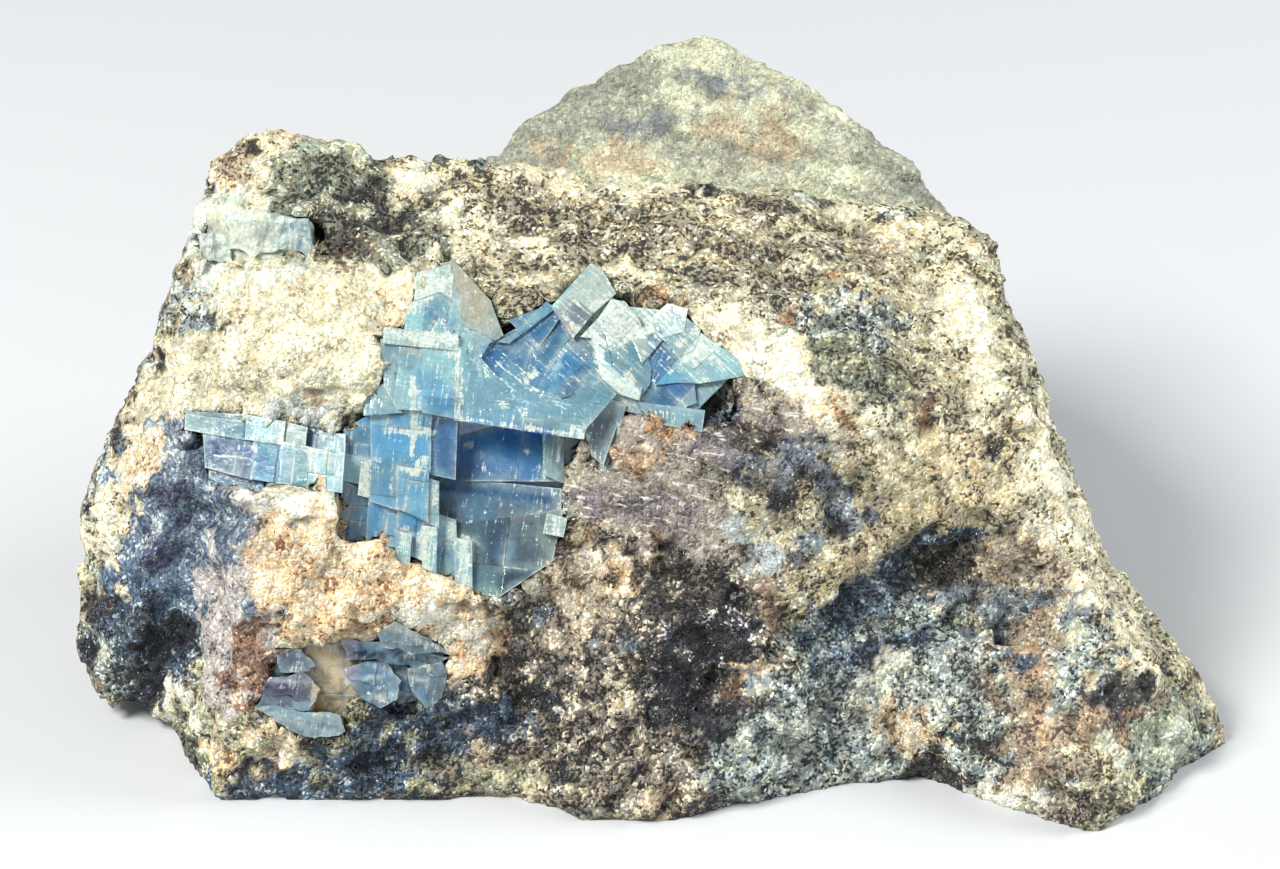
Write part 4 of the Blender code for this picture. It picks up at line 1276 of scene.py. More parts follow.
    def _close_seams(self, points: Array, lapping: Array) -> Array:
        """Draws the rock's rim up to the calcite that has grown in it.

        Args:
            points: The rock's corners in metres.
            lapping: Which of them lap over the calcite, and stay.

        Returns:
            The new corners.
        """
        moved = points.copy()
        for node in self.fronts:
            low, high = (np.array(corner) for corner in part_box(node))
            near = np.all((moved > low - self.reach) & (moved < high + self.reach), axis=1) & ~lapping
            surface = surface_of(node)
            for index in np.flatnonzero(near):
                found, _, _, distance = surface.find_nearest(Vector(moved[index]), self.reach)
                if found is not None and distance > self.gap:
                    moved[index] += (np.array(found) - moved[index]) * (1.0 - self.gap / distance)
        return moved


# ---- The calcite ----


class Tint(Enum):
    """Tints of the calcite: a colour and how frosted it is, from 0 to 1."""

    FROST = ("b8d0cc", 0.45)
    AQUA_BRIGHT = ("92c0c8", 0.2)
    AQUA = ("699db2", 0.12)
    AQUA_GREY = ("6d9bac", 0.1)
    GREEN_GREY = ("92b2ae", 0.12)
    MID_LIGHT = ("5498be", 0.12)
    MID = ("408fc0", 0.12)
    FAN = ("387aa8", 0.1)
    STEEL = ("3a73a2", 0.08)
    DEEP = ("265a88", 0.08)
    NAVY = ("3480c6", 0.05)
    NAVY_SLATE = ("4686b8", 0.08)
    SLATE = ("557a94", 0.12)
    GREY = ("74808a", 0.2)
    MAUVE = ("484a64", 0.08)
    DUSK = ("32485a", 0.04)
    TAN = ("ccbc98", 0.15)
    BROWNISH = ("b4b29e", 0.2)
    RUST = ("a8643c", 0.1)
    MILK_CREAM = ("d4d4c0", 0.45)
    MILK = ("b2c2b4", 0.4)
    MILK_BLUE = ("7a9ca2", 0.15)
    PLATE_GREY = ("64808e", 0.15)
    PLATE_BLUE = ("48728e", 0.1)
    PLATE_PALE = ("84a6b2", 0.25)
    PLATE_WHITE = ("c6d4d6", 0.3)


@dataclass(frozen=True)
class Stroke:
    """A soft streak of a tint: where it runs and how wide it is, in mm, and how well it covers."""

    tint: Tint
    start: tuple[float, float]
    end: tuple[float, float]
    width: float
    cover: float


@dataclass(frozen=True)
class TintSpot:
    """Where a tint is found on the display face, in mm."""

    tint: Tint
    across: float
    up: float


BLUE_SPOTS = listed(
    TintSpot,
    (Tint.AQUA_GREY, (-37.0, 0.9), (-12.2, 3.7), (-8.7, 2.3), (-4.3, 3.2)),
    (Tint.AQUA, (-35.1, 0.6), (-32.9, -1.3), (-29.9, -2.7), (-17.6, 2.8), (-7.3, 0.6), (-13.9, 5.4),
        (-17.6, 11.2), (-1.6, 6.3)),
    (Tint.AQUA_BRIGHT, (-32.7, 0.4), (-26.7, -0.7), (-27.2, -3.1), (-25.0, -3.1), (-20.5, -9.9),
        (-18.3, -10.0), (-18.0, -5.9), (-17.0, -9.2), (-15.3, -11.1), (-20.6, 5.4), (-17.4, 5.4),
        (-15.3, 4.4), (-22.4, 2.8), (-17.2, 8.9), (-14.6, 7.9), (-19.8, 10.1), (-12.0, 9.1), (3.8, 8.6),
        (6.6, 6.0)),
    (Tint.GREEN_GREY, (-30.0, -0.1), (-7.6, -1.8)),
    (Tint.SLATE, (-28.3, -0.5), (-35.4, -4.2), (-14.8, -5.7), (-10.4, -6.6), (1.7, 6.3)),
    (Tint.DEEP, (-36.3, -1.7), (-34.8, -2.2)),
    (Tint.MID, (-32.1, -3.3), (-24.5, -0.6), (-24.9, -6.9), (-22.3, -7.7), (-19.7, -8.3)),
    (Tint.FROST, (-23.7, -4.0), (-19.0, 8.2), (-7.4, -8.0), (-18.3, 13.1), (-4.3, 12.4), (-2.8, 9.8),
        (-2.4, 3.7), (0.5, 8.6), (2.7, 10.1), (5.2, 7.3)),
    (Tint.MID_LIGHT, (-21.4, -0.5), (-19.3, -1.0), (-22.2, -4.4), (-19.7, -5.0)),
    (Tint.STEEL, (-17.0, -0.8), (-11.5, 7.5), (-10.4, 9.8), (2.1, 3.3)),
    # The navy at the top of the hollow is the calcite's deeper blue and also painted shadow under the ledge.
    (Tint.NAVY, (-13.9, -0.5)),
    (Tint.NAVY_SLATE, (-9.6, -1.8)),
    (Tint.DUSK, (-11.7, -10.9)),
    (Tint.BROWNISH, (-14.4, 11.7)),
    (Tint.FAN, (-8.7, 7.2), (-6.4, 5.4)),
    (Tint.GREY, (-5.6, 10.3), (-3.0, -0.1)),
    (Tint.PLATE_PALE, (3.0, 1.6)),
)

BLUE_STROKES = listed(
    Stroke,
    (Tint.FROST, ((-40.0, 0.4), (-31.0, -0.6), 0.26, 0.7), ((-31.0, -0.6), (-25.9, -1.7), 0.26, 0.7),
        ((-34.5, -0.7), (-35.2, -1.5), 0.35, 0.9), ((-33.6, -0.7), (-33.6, -3.0), 0.35, 0.8),
        ((-36.0, 1.9), (-35.7, 1.8), 0.43, 0.9), ((-32.9, 1.3), (-31.3, 0.7), 0.52, 0.5),
        ((-28.5, -2.2), (-28.2, -3.1), 0.35, 0.8), ((-27.7, 0.0), (-26.2, -1.3), 1.22, 0.45),
        ((-37.9, -2.4), (-35.8, -3.4), 0.26, 0.6), ((-20.1, 11.2), (-17.4, 13.1), 1.39, 0.7),
        ((-19.1, 13.7), (-15.9, 12.0), 0.87, 0.45), ((-17.5, 10.0), (-16.0, 8.2), 0.26, 0.7),
        ((-19.0, 8.2), (-17.5, 10.0), 0.26, 0.7), ((-22.6, 9.0), (-15.9, 8.2), 0.7, 0.85),
        ((-18.8, 7.8), (-16.0, 7.0), 0.87, 0.6), ((-15.9, 7.3), (-15.7, 2.4), 0.52, 0.7),
        ((-16.8, 7.8), (-16.6, 6.7), 0.43, 0.8), ((-14.8, 7.2), (-13.6, 5.4), 0.7, 0.4),
        ((-12.3, 2.7), (-11.7, 2.5), 0.2, 0.6), ((-10.7, 2.0), (-10.0, 1.7), 0.1, 0.5),
        ((-11.5, 4.0), (-9.0, 3.9), 0.1, 0.4), ((-19.6, 4.7), (-19.8, -2.0), 0.43, 1.0),
        ((-22.3, 0.4), (-18.3, 0.2), 0.52, 1.0), ((-22.1, -0.3), (-20.7, -0.7), 0.26, 0.6),
        ((-20.7, -2.0), (-20.0, -3.1), 0.26, 0.4), ((-19.5, -2.0), (-19.3, -3.3), 0.52, 0.95),
        ((-18.8, -1.9), (-18.7, -3.0), 0.43, 0.9), ((-23.7, -2.4), (-23.9, -5.3), 0.61, 0.75),
        ((-26.9, -6.9), (-26.3, -9.0), 0.7, 0.7), ((-17.8, -4.6), (-18.3, -7.3), 0.43, 0.7),
        ((-20.5, -8.4), (-20.5, -11.4), 0.96, 0.8), ((-18.5, -8.4), (-18.8, -11.6), 0.87, 1.0),
        ((-15.3, -9.1), (-15.2, -13.0), 0.87, 0.9), ((-16.3, -7.4), (-16.2, -10.2), 0.52, 0.5),
        ((-21.6, -9.0), (-21.2, -10.6), 0.35, 0.6), ((-23.9, 0.8), (-23.6, -0.8), 0.26, 0.7),
        ((-25.2, -0.3), (-24.5, -1.8), 0.17, 0.6), ((-23.3, -5.7), (-18.3, -6.4), 0.17, 0.45),
        ((-22.8, -2.9), (-19.1, -3.3), 0.26, 0.5), ((-21.7, -3.8), (-21.7, -5.9), 0.26, 0.4),
        ((-15.2, -1.0), (-14.0, -0.7), 0.52, 0.7), ((-13.7, -2.7), (-13.2, -3.2), 0.52, 0.7),
        ((-8.3, -0.1), (-8.3, -3.6), 0.17, 0.7), ((-7.1, -0.1), (-7.0, -2.2), 0.43, 0.8),
        ((-10.9, -2.2), (-10.9, -4.2), 0.17, 0.4), ((-9.8, -1.4), (-8.9, -2.6), 0.17, 0.6),
        ((-8.2, -6.9), (-6.3, -7.3), 0.26, 0.6), ((-8.2, -8.3), (-6.5, -8.7), 0.26, 0.5),
        ((-7.6, -5.0), (-4.5, -6.2), 0.26, 0.6), ((-16.0, 1.6), (-4.7, -0.3), 0.26, 0.8),
        ((-5.7, 0.4), (-4.8, -0.2), 0.7, 0.75), ((-8.2, 3.5), (-4.7, 0.9), 0.26, 0.6),
        ((-9.3, 8.2), (-9.1, 5.4), 0.12, 0.45), ((-9.1, 5.4), (-9.7, 4.4), 0.26, 0.85),
        ((-12.3, 6.0), (-9.7, 4.4), 0.26, 0.7), ((-9.7, 4.4), (-9.0, 3.9), 0.35, 0.7),
        ((-10.5, 6.6), (-9.7, 5.4), 0.17, 0.5), ((-5.3, 9.3), (-4.0, 8.4), 0.78, 1.0),
        ((-4.0, 8.4), (-3.3, 5.4), 0.78, 1.0), ((-3.3, 5.4), (-1.0, 3.3), 0.87, 1.0),
        ((-3.3, 11.0), (-1.4, 8.4), 1.74, 0.85), ((1.0, 9.3), (-1.5, 8.2), 0.7, 0.8),
        ((1.8, 11.0), (4.0, 10.6), 1.13, 0.85), ((3.1, 8.0), (5.0, 8.9), 1.04, 0.7),
        ((-1.0, 5.1), (-0.7, 3.7), 1.04, 0.85), ((4.2, 6.7), (2.7, 5.4), 0.17, 0.8),
        ((5.2, 7.7), (7.3, 6.0), 1.39, 0.45), ((-19.7, 5.0), (-19.7, 0.8), 0.5, 1.0),
        ((-18.0, -8.0), (-18.0, -11.0), 0.17, 0.8), ((-15.9, -9.0), (-15.8, -12.6), 0.17, 0.8),
        ((-9.8, 4.8), (-7.0, 9.6), 0.17, 0.5), ((-9.7, 4.6), (-5.9, 7.8), 0.17, 0.6),
        ((-11.6, 5.4), (-4.9, 5.2), 0.17, 0.5)),
    (Tint.AQUA_BRIGHT, ((-33.2, 0.7), (-31.7, 0.0), 1.39, 0.8)),
    (Tint.GREEN_GREY, ((-39.5, 1.4), (-37.4, 0.9), 1.22, 0.6)),
    (Tint.SLATE, ((-38.6, -0.3), (-37.9, -1.0), 0.7, 0.6)),
    (Tint.STEEL, ((-32.9, -2.4), (-31.5, -3.3), 1.04, 0.8)),
    (Tint.AQUA_BRIGHT, ((-31.0, -1.0), (-29.6, -3.1), 1.22, 0.5)),
    (Tint.STEEL, ((-18.4, 10.7), (-16.7, 9.8), 1.39, 0.55)),
    (Tint.AQUA_BRIGHT, ((-18.8, 6.8), (-16.3, 6.0), 1.39, 0.5)),
    (Tint.SLATE, ((-22.3, 7.3), (-20.2, 6.3), 1.57, 0.45)),
    (Tint.MID, ((-18.8, 4.7), (-16.5, 2.7), 2.09, 0.5), ((-22.8, 1.7), (-20.3, -0.1), 1.91, 0.5)),
    (Tint.DEEP, ((-17.7, 1.1), (-16.3, -3.1), 1.22, 0.55)),
    (Tint.NAVY, ((-26.1, -5.7), (-25.2, -8.8), 1.74, 0.7)),
    (Tint.NAVY_SLATE, ((-25.6, -0.5), (-23.8, -1.5), 1.04, 0.5)),
    (Tint.STEEL, ((-18.3, -9.2), (-15.8, -11.4), 0.7, 0.5)),
    # Painted shadow: a navy band at the top of the hollow, under the ledge.
    (Tint.NAVY, ((-15.9, 0.9), (-8.3, -0.1), 1.39, 0.9)),
    (Tint.NAVY_SLATE, ((-14.8, -1.3), (-9.6, -2.9), 1.57, 0.6)),
    # Painted shadow: a dark blue band under the second ledge.
    (Tint.DEEP, ((-17.7, -4.6), (-8.0, -5.6), 0.6, 0.8)),
    (Tint.GREY, ((-15.8, -3.3), (-10.9, -3.6), 0.52, 0.55), ((-13.3, -4.0), (-8.0, -5.1), 0.26, 0.5)),
    (Tint.MAUVE, ((-17.4, -6.4), (-16.0, -7.4), 1.04, 0.6), ((-12.2, -9.2), (-9.6, -10.9), 1.74, 0.35)),
    (Tint.GREY, ((-11.7, -6.6), (-8.3, -7.9), 1.57, 0.5)),
    (Tint.SLATE, ((-14.8, -7.4), (-12.2, -9.6), 2.61, 0.5)),
    (Tint.MAUVE, ((-6.8, -1.8), (-6.4, -4.0), 1.22, 0.5)),
    (Tint.GREEN_GREY, ((-13.5, -13.5), (-12.2, -14.4), 1.39, 0.6), ((-8.7, 1.3), (-5.2, 0.6), 1.04, 0.4)),
    (Tint.AQUA_BRIGHT, ((-15.5, 4.7), (-14.8, 2.1), 0.7, 0.5), ((-6.5, 8.6), (-7.7, 3.7), 0.43, 0.8)),
    (Tint.NAVY_SLATE, ((-13.4, 7.3), (-12.2, 6.1), 1.04, 0.6)),
    (Tint.STEEL, ((-12.2, 8.2), (-10.0, 6.3), 1.74, 0.35)),
    (Tint.AQUA_BRIGHT, ((-7.7, 11.2), (-10.8, 8.9), 0.61, 0.9), ((-4.7, 14.2), (-7.0, 11.7), 0.7, 0.7)),
    (Tint.GREY, ((-6.3, 11.2), (-4.7, 9.8), 1.22, 0.7)),
    (Tint.RUST, ((-6.1, 9.4), (-5.6, 9.3), 0.35, 0.9)),
    (Tint.DEEP, ((-9.1, 9.1), (-7.3, 7.8), 1.22, 0.3)),
    (Tint.AQUA, ((-4.3, 4.7), (-3.1, 3.2), 1.91, 0.5)),
    (Tint.STEEL, ((1.4, 8.4), (1.6, 6.3), 1.57, 0.75)),
    (Tint.AQUA, ((-2.1, 7.2), (-1.0, 6.0), 1.57, 0.7)),
    (Tint.GREEN_GREY, ((-2.4, 7.3), (-1.6, 6.7), 1.04, 0.4)),
    (Tint.STEEL, ((2.4, 4.9), (4.3, 3.7), 1.91, 0.5)),
    (Tint.SLATE, ((0.0, 4.4), (1.7, 3.3), 1.22, 0.4)),
    (Tint.STEEL, ((-21.3, -8.6), (-21.3, -11.4), 0.3, 0.9), ((-19.6, -8.2), (-19.6, -12.2), 0.4, 0.9)),
    (Tint.MID, ((-17.5, -8.2), (-17.4, -13.0), 0.5, 0.9)),
    (Tint.STEEL, ((-16.3, -10.2), (-16.2, -13.6), 0.35, 0.9), ((-14.7, -9.6), (-14.5, -13.6), 0.35, 0.8),
        ((-10.2, 7.9), (-7.4, 9.4), 0.9, 0.5), ((-9.0, 5.2), (-6.0, 3.6), 0.8, 0.5)),
)

SLATE_SPOTS = listed(
    TintSpot,
    (Tint.MAUVE, (-30.8, -22.4)),
    (Tint.PLATE_PALE, (-29.6, -25.0), (-32.3, -24.3)),
    (Tint.PLATE_GREY, (-30.1, -19.4), (-19.8, -17.5), (-18.8, -21.7)),
    (Tint.TAN, (-27.3, -20.0), (-26.1, -22.2)),
    (Tint.PLATE_BLUE, (-21.6, -19.1), (-23.5, -21.9)),
)

SLATE_STROKES = listed(
    Stroke,
    (Tint.FROST, ((-20.6, -19.2), (-18.2, -20.4), 0.5, 0.7), ((-22.8, -22.8), (-20.4, -24.0), 0.4, 0.7),
        ((-20.8, -17.2), (-17.6, -18.6), 0.3, 0.6)),
    (Tint.TAN, ((-26.0, -18.6), (-25.2, -23.8), 1.2, 0.7), ((-28.4, -19.2), (-27.8, -24.6), 0.8, 0.6)),
    (Tint.DUSK, ((-25.6, -18.9), (-22.3, -19.6), 1.1, 0.7)),
    (Tint.PLATE_WHITE, ((-21.9, -16.6), (-19.6, -17.4), 1.0, 0.5),
        ((-33.0, -21.3), (-28.6, -21.5), 0.3, 0.9), ((-32.8, -24.1), (-27.0, -26.0), 0.5, 0.7),
        ((-25.3, -21.4), (-20.0, -20.6), 0.35, 0.9), ((-24.5, -23.0), (-19.5, -22.4), 0.35, 0.8),
        ((-23.0, -20.2), (-18.5, -21.5), 0.3, 0.8)),
    (Tint.PLATE_BLUE, ((-24.6, -22.2), (-19.8, -21.6), 0.5, 0.7)),
    (Tint.STEEL, ((-22.6, -20.6), (-18.6, -22.6), 0.7, 0.6)),
    (Tint.MAUVE, ((-31.0, -18.8), (-28.6, -20.2), 1.2, 0.6)),
)

PALE_SPOTS = listed(
    TintSpot,
    (Tint.MILK, (-34.1, 17.6), (-29.6, 15.9), (-37.4, 16.0)),
    (Tint.MILK_BLUE, (-29.7, 17.1), (-37.9, 15.2)),
)

PALE_STROKES = listed(
    Stroke,
    (Tint.FROST, ((-35.2, 18.4), (-33.0, 16.2), 2.2, 0.75), ((-32.0, 19.0), (-29.0, 18.4), 0.3, 0.9),
        ((-31.2, 15.2), (-29.8, 17.4), 0.3, 0.7), ((-36.6, 17.2), (-34.8, 15.8), 0.6, 0.9)),
    (Tint.GREY, ((-37.8, 18.2), (-37.2, 14.6), 1.5, 0.55)),
    (Tint.MILK_CREAM, ((-35.6, 18.8), (-33.4, 15.4), 2.4, 0.9)),
    (Tint.STEEL, ((-30.2, 17.8), (-29.2, 15.2), 0.9, 0.4)),
    (Tint.MILK_CREAM, ((-36.8, 18.8), (-33.2, 19.4), 1.8, 0.85), ((-36.0, 14.4), (-31.4, 14.8), 1.3, 0.85),
        ((-34.8, 17.2), (-33.6, 16.4), 1.0, 0.7)),
    (Tint.MILK_BLUE, ((-30.8, 18.6), (-29.0, 14.8), 1.9, 0.9)),
    (Tint.GREEN_GREY, ((-33.2, 17.8), (-31.8, 16.0), 1.4, 0.6)),
    (Tint.STEEL, ((-29.6, 16.6), (-28.8, 14.6), 0.7, 0.5)),
)


@dataclass
class CalciteGrowth:
    """One body of calcite with its cleavage blocks.

    Attributes:
        name: Name of the piece.
        front: Heights of the front of the CAD node that it stands for.
        spots: Where each tint is found.
        strokes: Streaks of other tints.
        finish: Its surface.
        uneven: How far its corners stray, in metres.
        longest: Edges longer than this are split, in metres.
        finest: The same for edges that face the viewer.
        rounds: How often long edges are split at most.
        flat: Faces that meet at less than this many degrees belong to one cleavage face.
        facing: Least cosine between a face that is cut and the line of sight.
        smallest: Least area of a part that is cut, in square metres.
        cuts: Most cuts in each direction through one cleavage face.
        spacing: Least space between two cuts, in metres.
        stepped: Share of the parts of the cut faces that are lifted.
        lift: Highest step between the parts of a cut face, in metres.
        flatten: Share by which the steps between its blocks are lowered where it stands proud of the rock.
        rim: Width of the highlight painted along its sharp edges, in metres.
    """

    name: str
    front: FrontHeights
    spots: list[TintSpot]
    strokes: list[Stroke]
    finish: CleavageFinish
    uneven: float = 0.02 * MM
    longest: float = 0.8 * MM
    finest: float = 0.32 * MM
    rounds: int = 7
    flat: float = 1.0
    facing: float = 0.55
    smallest: float = 1.2 * MM * MM
    cuts: int = 2
    spacing: float = 1.3 * MM
    stepped: float = 0.4
    lift: float = 0.13 * MM
    flatten: float = 0.62
    rim: float = 1.2 * MM

    def __post_init__(self) -> None:
        """Copies the CAD body, and adds a layer for the numbers of its blocks and one for the cuts."""
        self.face = self.front.face
        self.draw = np.random.default_rng(SEED)
        self.shape = copy_of_node(self.front.node)
        bmesh.ops.recalc_face_normals(self.shape, faces=self.shape.faces)
        self.block = self.shape.faces.layers.int.new("block")
        self.cut = self.shape.edges.layers.int.new("cut")

    def build(self) -> Piece:
        """Builds the body and tints its blocks.

        Returns:
            The object.
        """
        self._number()
        self._cut()
        middles = self._number()
        self._step()
        self._small_faces()
        sharp = self._sharp_points()
        blocks = np.array([face[self.block] for face in self.shape.faces for _ in face.loops])
        for face in self.shape.faces:
            face.smooth = True
        for edge in self.shape.edges:
            edge.smooth = len({face[self.block] for face in edge.link_faces}) == 1
        piece = add_piece(self.name, self.shape)
        mesh = piece.data
        self._roughen(mesh)
        places = self.face.places(corners(mesh))
        self._store_tints(mesh, places, middles, blocks)
        # How near each corner is to a sharp outer edge, where the finish paints a highlight.
        near = [max(0.0, 1.0 - sharp.find(vertex.co)[2] / self.rim) for vertex in mesh.vertices]
        store(mesh, "rim", np.array(near)[:, None])
        store(mesh, "cleave", np.column_stack([*self._turned(places), places[:, 2]]))
        dress(mesh, self.finish.build())
        return piece

    def _number(self) -> Array:
        """Numbers the parts of the cleavage faces from 1, parted by cuts and by edges that aren't flat.

        Returns:
            The middle of each part in metres, after a first row of zeros.
        """
        middles = [Vector()]
        limit = math.radians(self.flat)
        for face in self.shape.faces:
            face[self.block] = 0
        for start in self.shape.faces:
            if start[self.block]:
                continue
            start[self.block] = number = len(middles)
            waiting = [start]
            area, middle = 0.0, Vector()
            while waiting:
                face = waiting.pop()
                size = face.calc_area()
                area += size
                middle += face.calc_center_median() * size
                uncut = (edge for edge in face.edges if not edge[self.cut])
                for other in (other for edge in uncut for other in edge.link_faces):
                    if not other[self.block] and other.normal.angle(start.normal, 9.0) < limit:
                        other[self.block] = number
                        waiting.append(other)
            middles.append(middle / max(area, 1e-12))
        return np.array(middles)

    def _parts(self) -> list[Faces]:
        """Finds the parts that face the viewer and are large enough to show.

        Returns:
            The faces of each part.
        """
        out = self.face.out()
        parts: dict[int, Faces] = {}
        for face in self.shape.faces:
            if face.normal.dot(out) > self.facing:
                parts.setdefault(face[self.block], []).append(face)
        return [faces for faces in parts.values() if sum(f.calc_area() for f in faces) > self.smallest]

    def _middle(self, faces: Faces) -> Vector:
        """The middle of some faces, in metres."""
        return sum((face.calc_center_median() for face in faces), Vector()) / len(faces)

    def _turned(self, places: Array) -> tuple[Array, Array]:
        """Measures places along the two directions in which the calcite splits.

        Args:
            places: Places on the display face.

        Returns:
            The distances along and over, in mm.
        """
        turn = np.radians(self._lean(places))
        along = places[:, 0] * np.cos(turn) + places[:, 1] * np.sin(turn)
        return along, places[:, 1] * np.cos(turn) - places[:, 0] * np.sin(turn)

    def _lean(self, places: Array) -> Array:
        """Degrees by which the cleavage leans on the display face at some places."""
        return -7.0 + 55.0 * smooth(places[:, 0], -14.5, -13.5) * smooth(places[:, 1], 2.0, 3.5)

    def _cut(self) -> None:
        """Cuts the cleavage faces along the two directions in which calcite splits."""
        across, up, _ = (Vector(axis) for axis in self.face.axes())
        for faces in self._parts():
            turn = math.radians(float(self._lean(self.face.places(np.array([self._middle(faces)])))[0]))
            along = across * math.cos(turn) + up * math.sin(turn)
            over = up * math.cos(turn) - across * math.sin(turn)
            for direction in (along, over):
                reach = [vertex.co.dot(direction) for face in faces for vertex in face.verts]
                low, high = min(reach), max(reach)
                number = min(int(self.draw.integers(0, self.cuts + 1)), int((high - low) / self.spacing))
                for _ in range(number):
                    faces = self._bisect(faces, direction, low + (high - low) * self.draw.uniform(0.15, 0.85))

    def _bisect(self, faces: Faces, direction: Vector, where: float) -> Faces:
        """Cuts some faces with one plane, and marks the new edges as cuts.

        Args:
            faces: The faces to cut.
            direction: The plane's normal.
            where: Distance of the plane from the origin, in metres.

        Returns:
            The faces after the cut.
        """
        edges = dict.fromkeys(edge for face in faces for edge in face.edges)
        verts = dict.fromkeys(vertex for face in faces for vertex in face.verts)
        plane = {"plane_co": direction * where, "plane_no": direction, "dist": 0.01 * MM}
        made = bmesh.ops.bisect_plane(self.shape, geom=[*faces, *edges, *verts], **plane)
        for part in made["geom_cut"]:
            if isinstance(part, bmesh.types.BMEdge):
                part[self.cut] = 1
        return [part for part in made["geom"] if isinstance(part, bmesh.types.BMFace)]

    def _step(self) -> None:
        """Lifts some parts of the cut faces, so that they stand in steps."""
        for faces in self._parts():
            if self.draw.uniform() > self.stepped:
                continue
            middle = self._middle(faces)
            rise = faces[0].normal * (self.draw.uniform(0.2, 1.0) * self.lift)
            made = bmesh.ops.extrude_face_region(self.shape, geom=faces)
            for part in made["geom"]:
                if isinstance(part, bmesh.types.BMVert):
                    inward = middle - part.co
                    part.co += rise + inward.normalized() * min(0.03 * MM, inward.length * 0.2)
        self._put_in_order()

    def _put_in_order(self) -> None:
        """Lists corners by place, and edges and faces by their corners, so that each run gives one order."""
        for number, vertex in enumerate(sorted(self.shape.verts, key=lambda vertex: tuple(vertex.co))):
            vertex.index = number
        self.shape.verts.sort()
        for parts in (self.shape.edges, self.shape.faces):
            listed_parts = sorted(parts, key=lambda part: sorted(vertex.index for vertex in part.verts))
            for number, part in enumerate(listed_parts):
                part.index = number
            parts.sort()

    def _small_faces(self) -> None:
        """Splits long edges until the faces are small, smallest where they face the viewer."""
        out = self.face.out()
        self._triangulate()
        for _ in range(self.rounds):
            long = []
            for edge in self.shape.edges:
                seen = any(face.normal.dot(out) > 0.3 for face in edge.link_faces)
                if edge.calc_length() > (self.finest if seen else self.longest):
                    long.append(edge)
            if not long:
                break
            bmesh.ops.subdivide_edges(self.shape, edges=long, cuts=1)
            self._triangulate()

    def _triangulate(self) -> None:
        """Splits the faces that have more than three corners."""
        bmesh.ops.triangulate(self.shape, faces=[face for face in self.shape.faces if len(face.verts) > 3])

    def _roughen(self, mesh: Mesh) -> None:
        """Lowers the steps between the blocks and lets the corners stray, so that edges are less even.

        Args:
            mesh: The body's mesh.
        """
        points = corners(mesh)
        places = self.face.places(points)
        above = places[:, 2] - self.front.mean(places)
        share = self.flatten * smooth(places[:, 1], 1.0, 3.5) * smooth(above, -5.0, -2.5)
        points -= np.outer(above * share * MM, self.face.axes()[2])
        mm = points / MM
        stray = [noise_field(mm, 1.5, shift) + 0.5 * noise_field(mm, 0.6, shift) for shift in (3, 17, 29)]
        move_corners(mesh, points + np.column_stack(stray) * self.uneven)

    def _sharp_points(self) -> KDTree:
        """Finds points along the outer edges between cleavage faces.

        Returns:
            The points, sorted for finding the nearest.
        """
        found = []
        for edge in self.shape.edges:
            faces = edge.link_faces
            if len(faces) == 2 and faces[0][self.block] != faces[1][self.block] and edge.is_convex:
                if faces[0].normal.angle(faces[1].normal, 0.0) > 0.2:
                    start, end = edge.verts[0].co, edge.verts[1].co
                    found += [start.lerp(end, step / 4) for step in range(5)]
        return tree_of(found)

    def _store_tints(self, mesh: Mesh, places: Array, middles: Array, blocks: Array) -> None:
        """Keeps the tint of every corner, and how much each part of a face is paler or darker than that.

        Args:
            mesh: The body's mesh.
            places: Its corners on the display face.
            middles: The middle of each part, in metres.
            blocks: The part that each corner of each face belongs to.
        """
        spots = np.array([(spot.across, spot.up) for spot in self.spots])
        tints = np.array([(*tone(spot.tint.value[0]), spot.tint.value[1]) for spot in self.spots])

        def nearest(seen: Array, blur: float) -> Array:
            """Finds the tint of the spots nearest to some places.

            Args:
                seen: Places on the display face.
                blur: Width over which two tints pass into each other, in mm.

            Returns:
                The tint and frost of each place.
            """
            away = np.hypot(seen[:, None, 0] - spots[None, :, 0], seen[:, None, 1] - spots[None, :, 1])
            weight = np.exp(-(((away - away.min(axis=1, keepdims=True)) / blur) ** 2))
            return weight @ tints / weight.sum(axis=1, keepdims=True)

        soft = nearest(places, 1.0)
        own = nearest(self.face.places(middles), 0.2)
        loops = np.empty(len(mesh.loops), np.int32)
        mesh.loops.foreach_get("vertex_index", loops)
        change = (own[blocks] / soft[loops]) ** 0.75
        shade = self.draw.uniform(0.86, 1.16, (len(middles), 1))
        change[:, :3] = np.clip(change[:, :3], 0.5, 1.9) * shade[blocks]
        frost = self.draw.uniform(-0.08, 0.1, len(middles))
        change[:, 3] = (own[blocks, 3] - soft[loops, 3]) * 0.6 + frost[blocks]
        store(mesh, "tone", change, "CORNER")
        wobble = 0.3 * noise_field(places, 0.9, 3.0) + 0.22 * noise_field(places, 0.4, 8.0)
        patchy = np.clip(0.85 + 0.9 * noise_field(places, 1.3, 13.0), 0.2, 1.2)
        for stroke in self.strokes:
            start = np.array(stroke.start)
            step = np.array(stroke.end) - start
            share = np.clip(((places[:, :2] - start) @ step) / max(step @ step, 1e-6), 0.0, 1.0)
            away = np.hypot(*(places[:, :2] - start - share[:, None] * step).T) + wobble
            cover = smooth(away, stroke.width * 0.5 + 0.3, stroke.width * 0.5 - 0.25) * stroke.cover
            if stroke.tint is Tint.FROST:
                whole = np.maximum(patchy, 0.75) if stroke.cover > 0.9 else patchy
                soft[:, 3] += (1.0 - soft[:, 3]) * np.minimum(cover * whole, 1.0)
            else:
                soft[:, :3] += (np.array(tone(stroke.tint.value[0])) - soft[:, :3]) * cover[:, None]
        store(mesh, "soft_tone", soft)


# ---- The studio ----


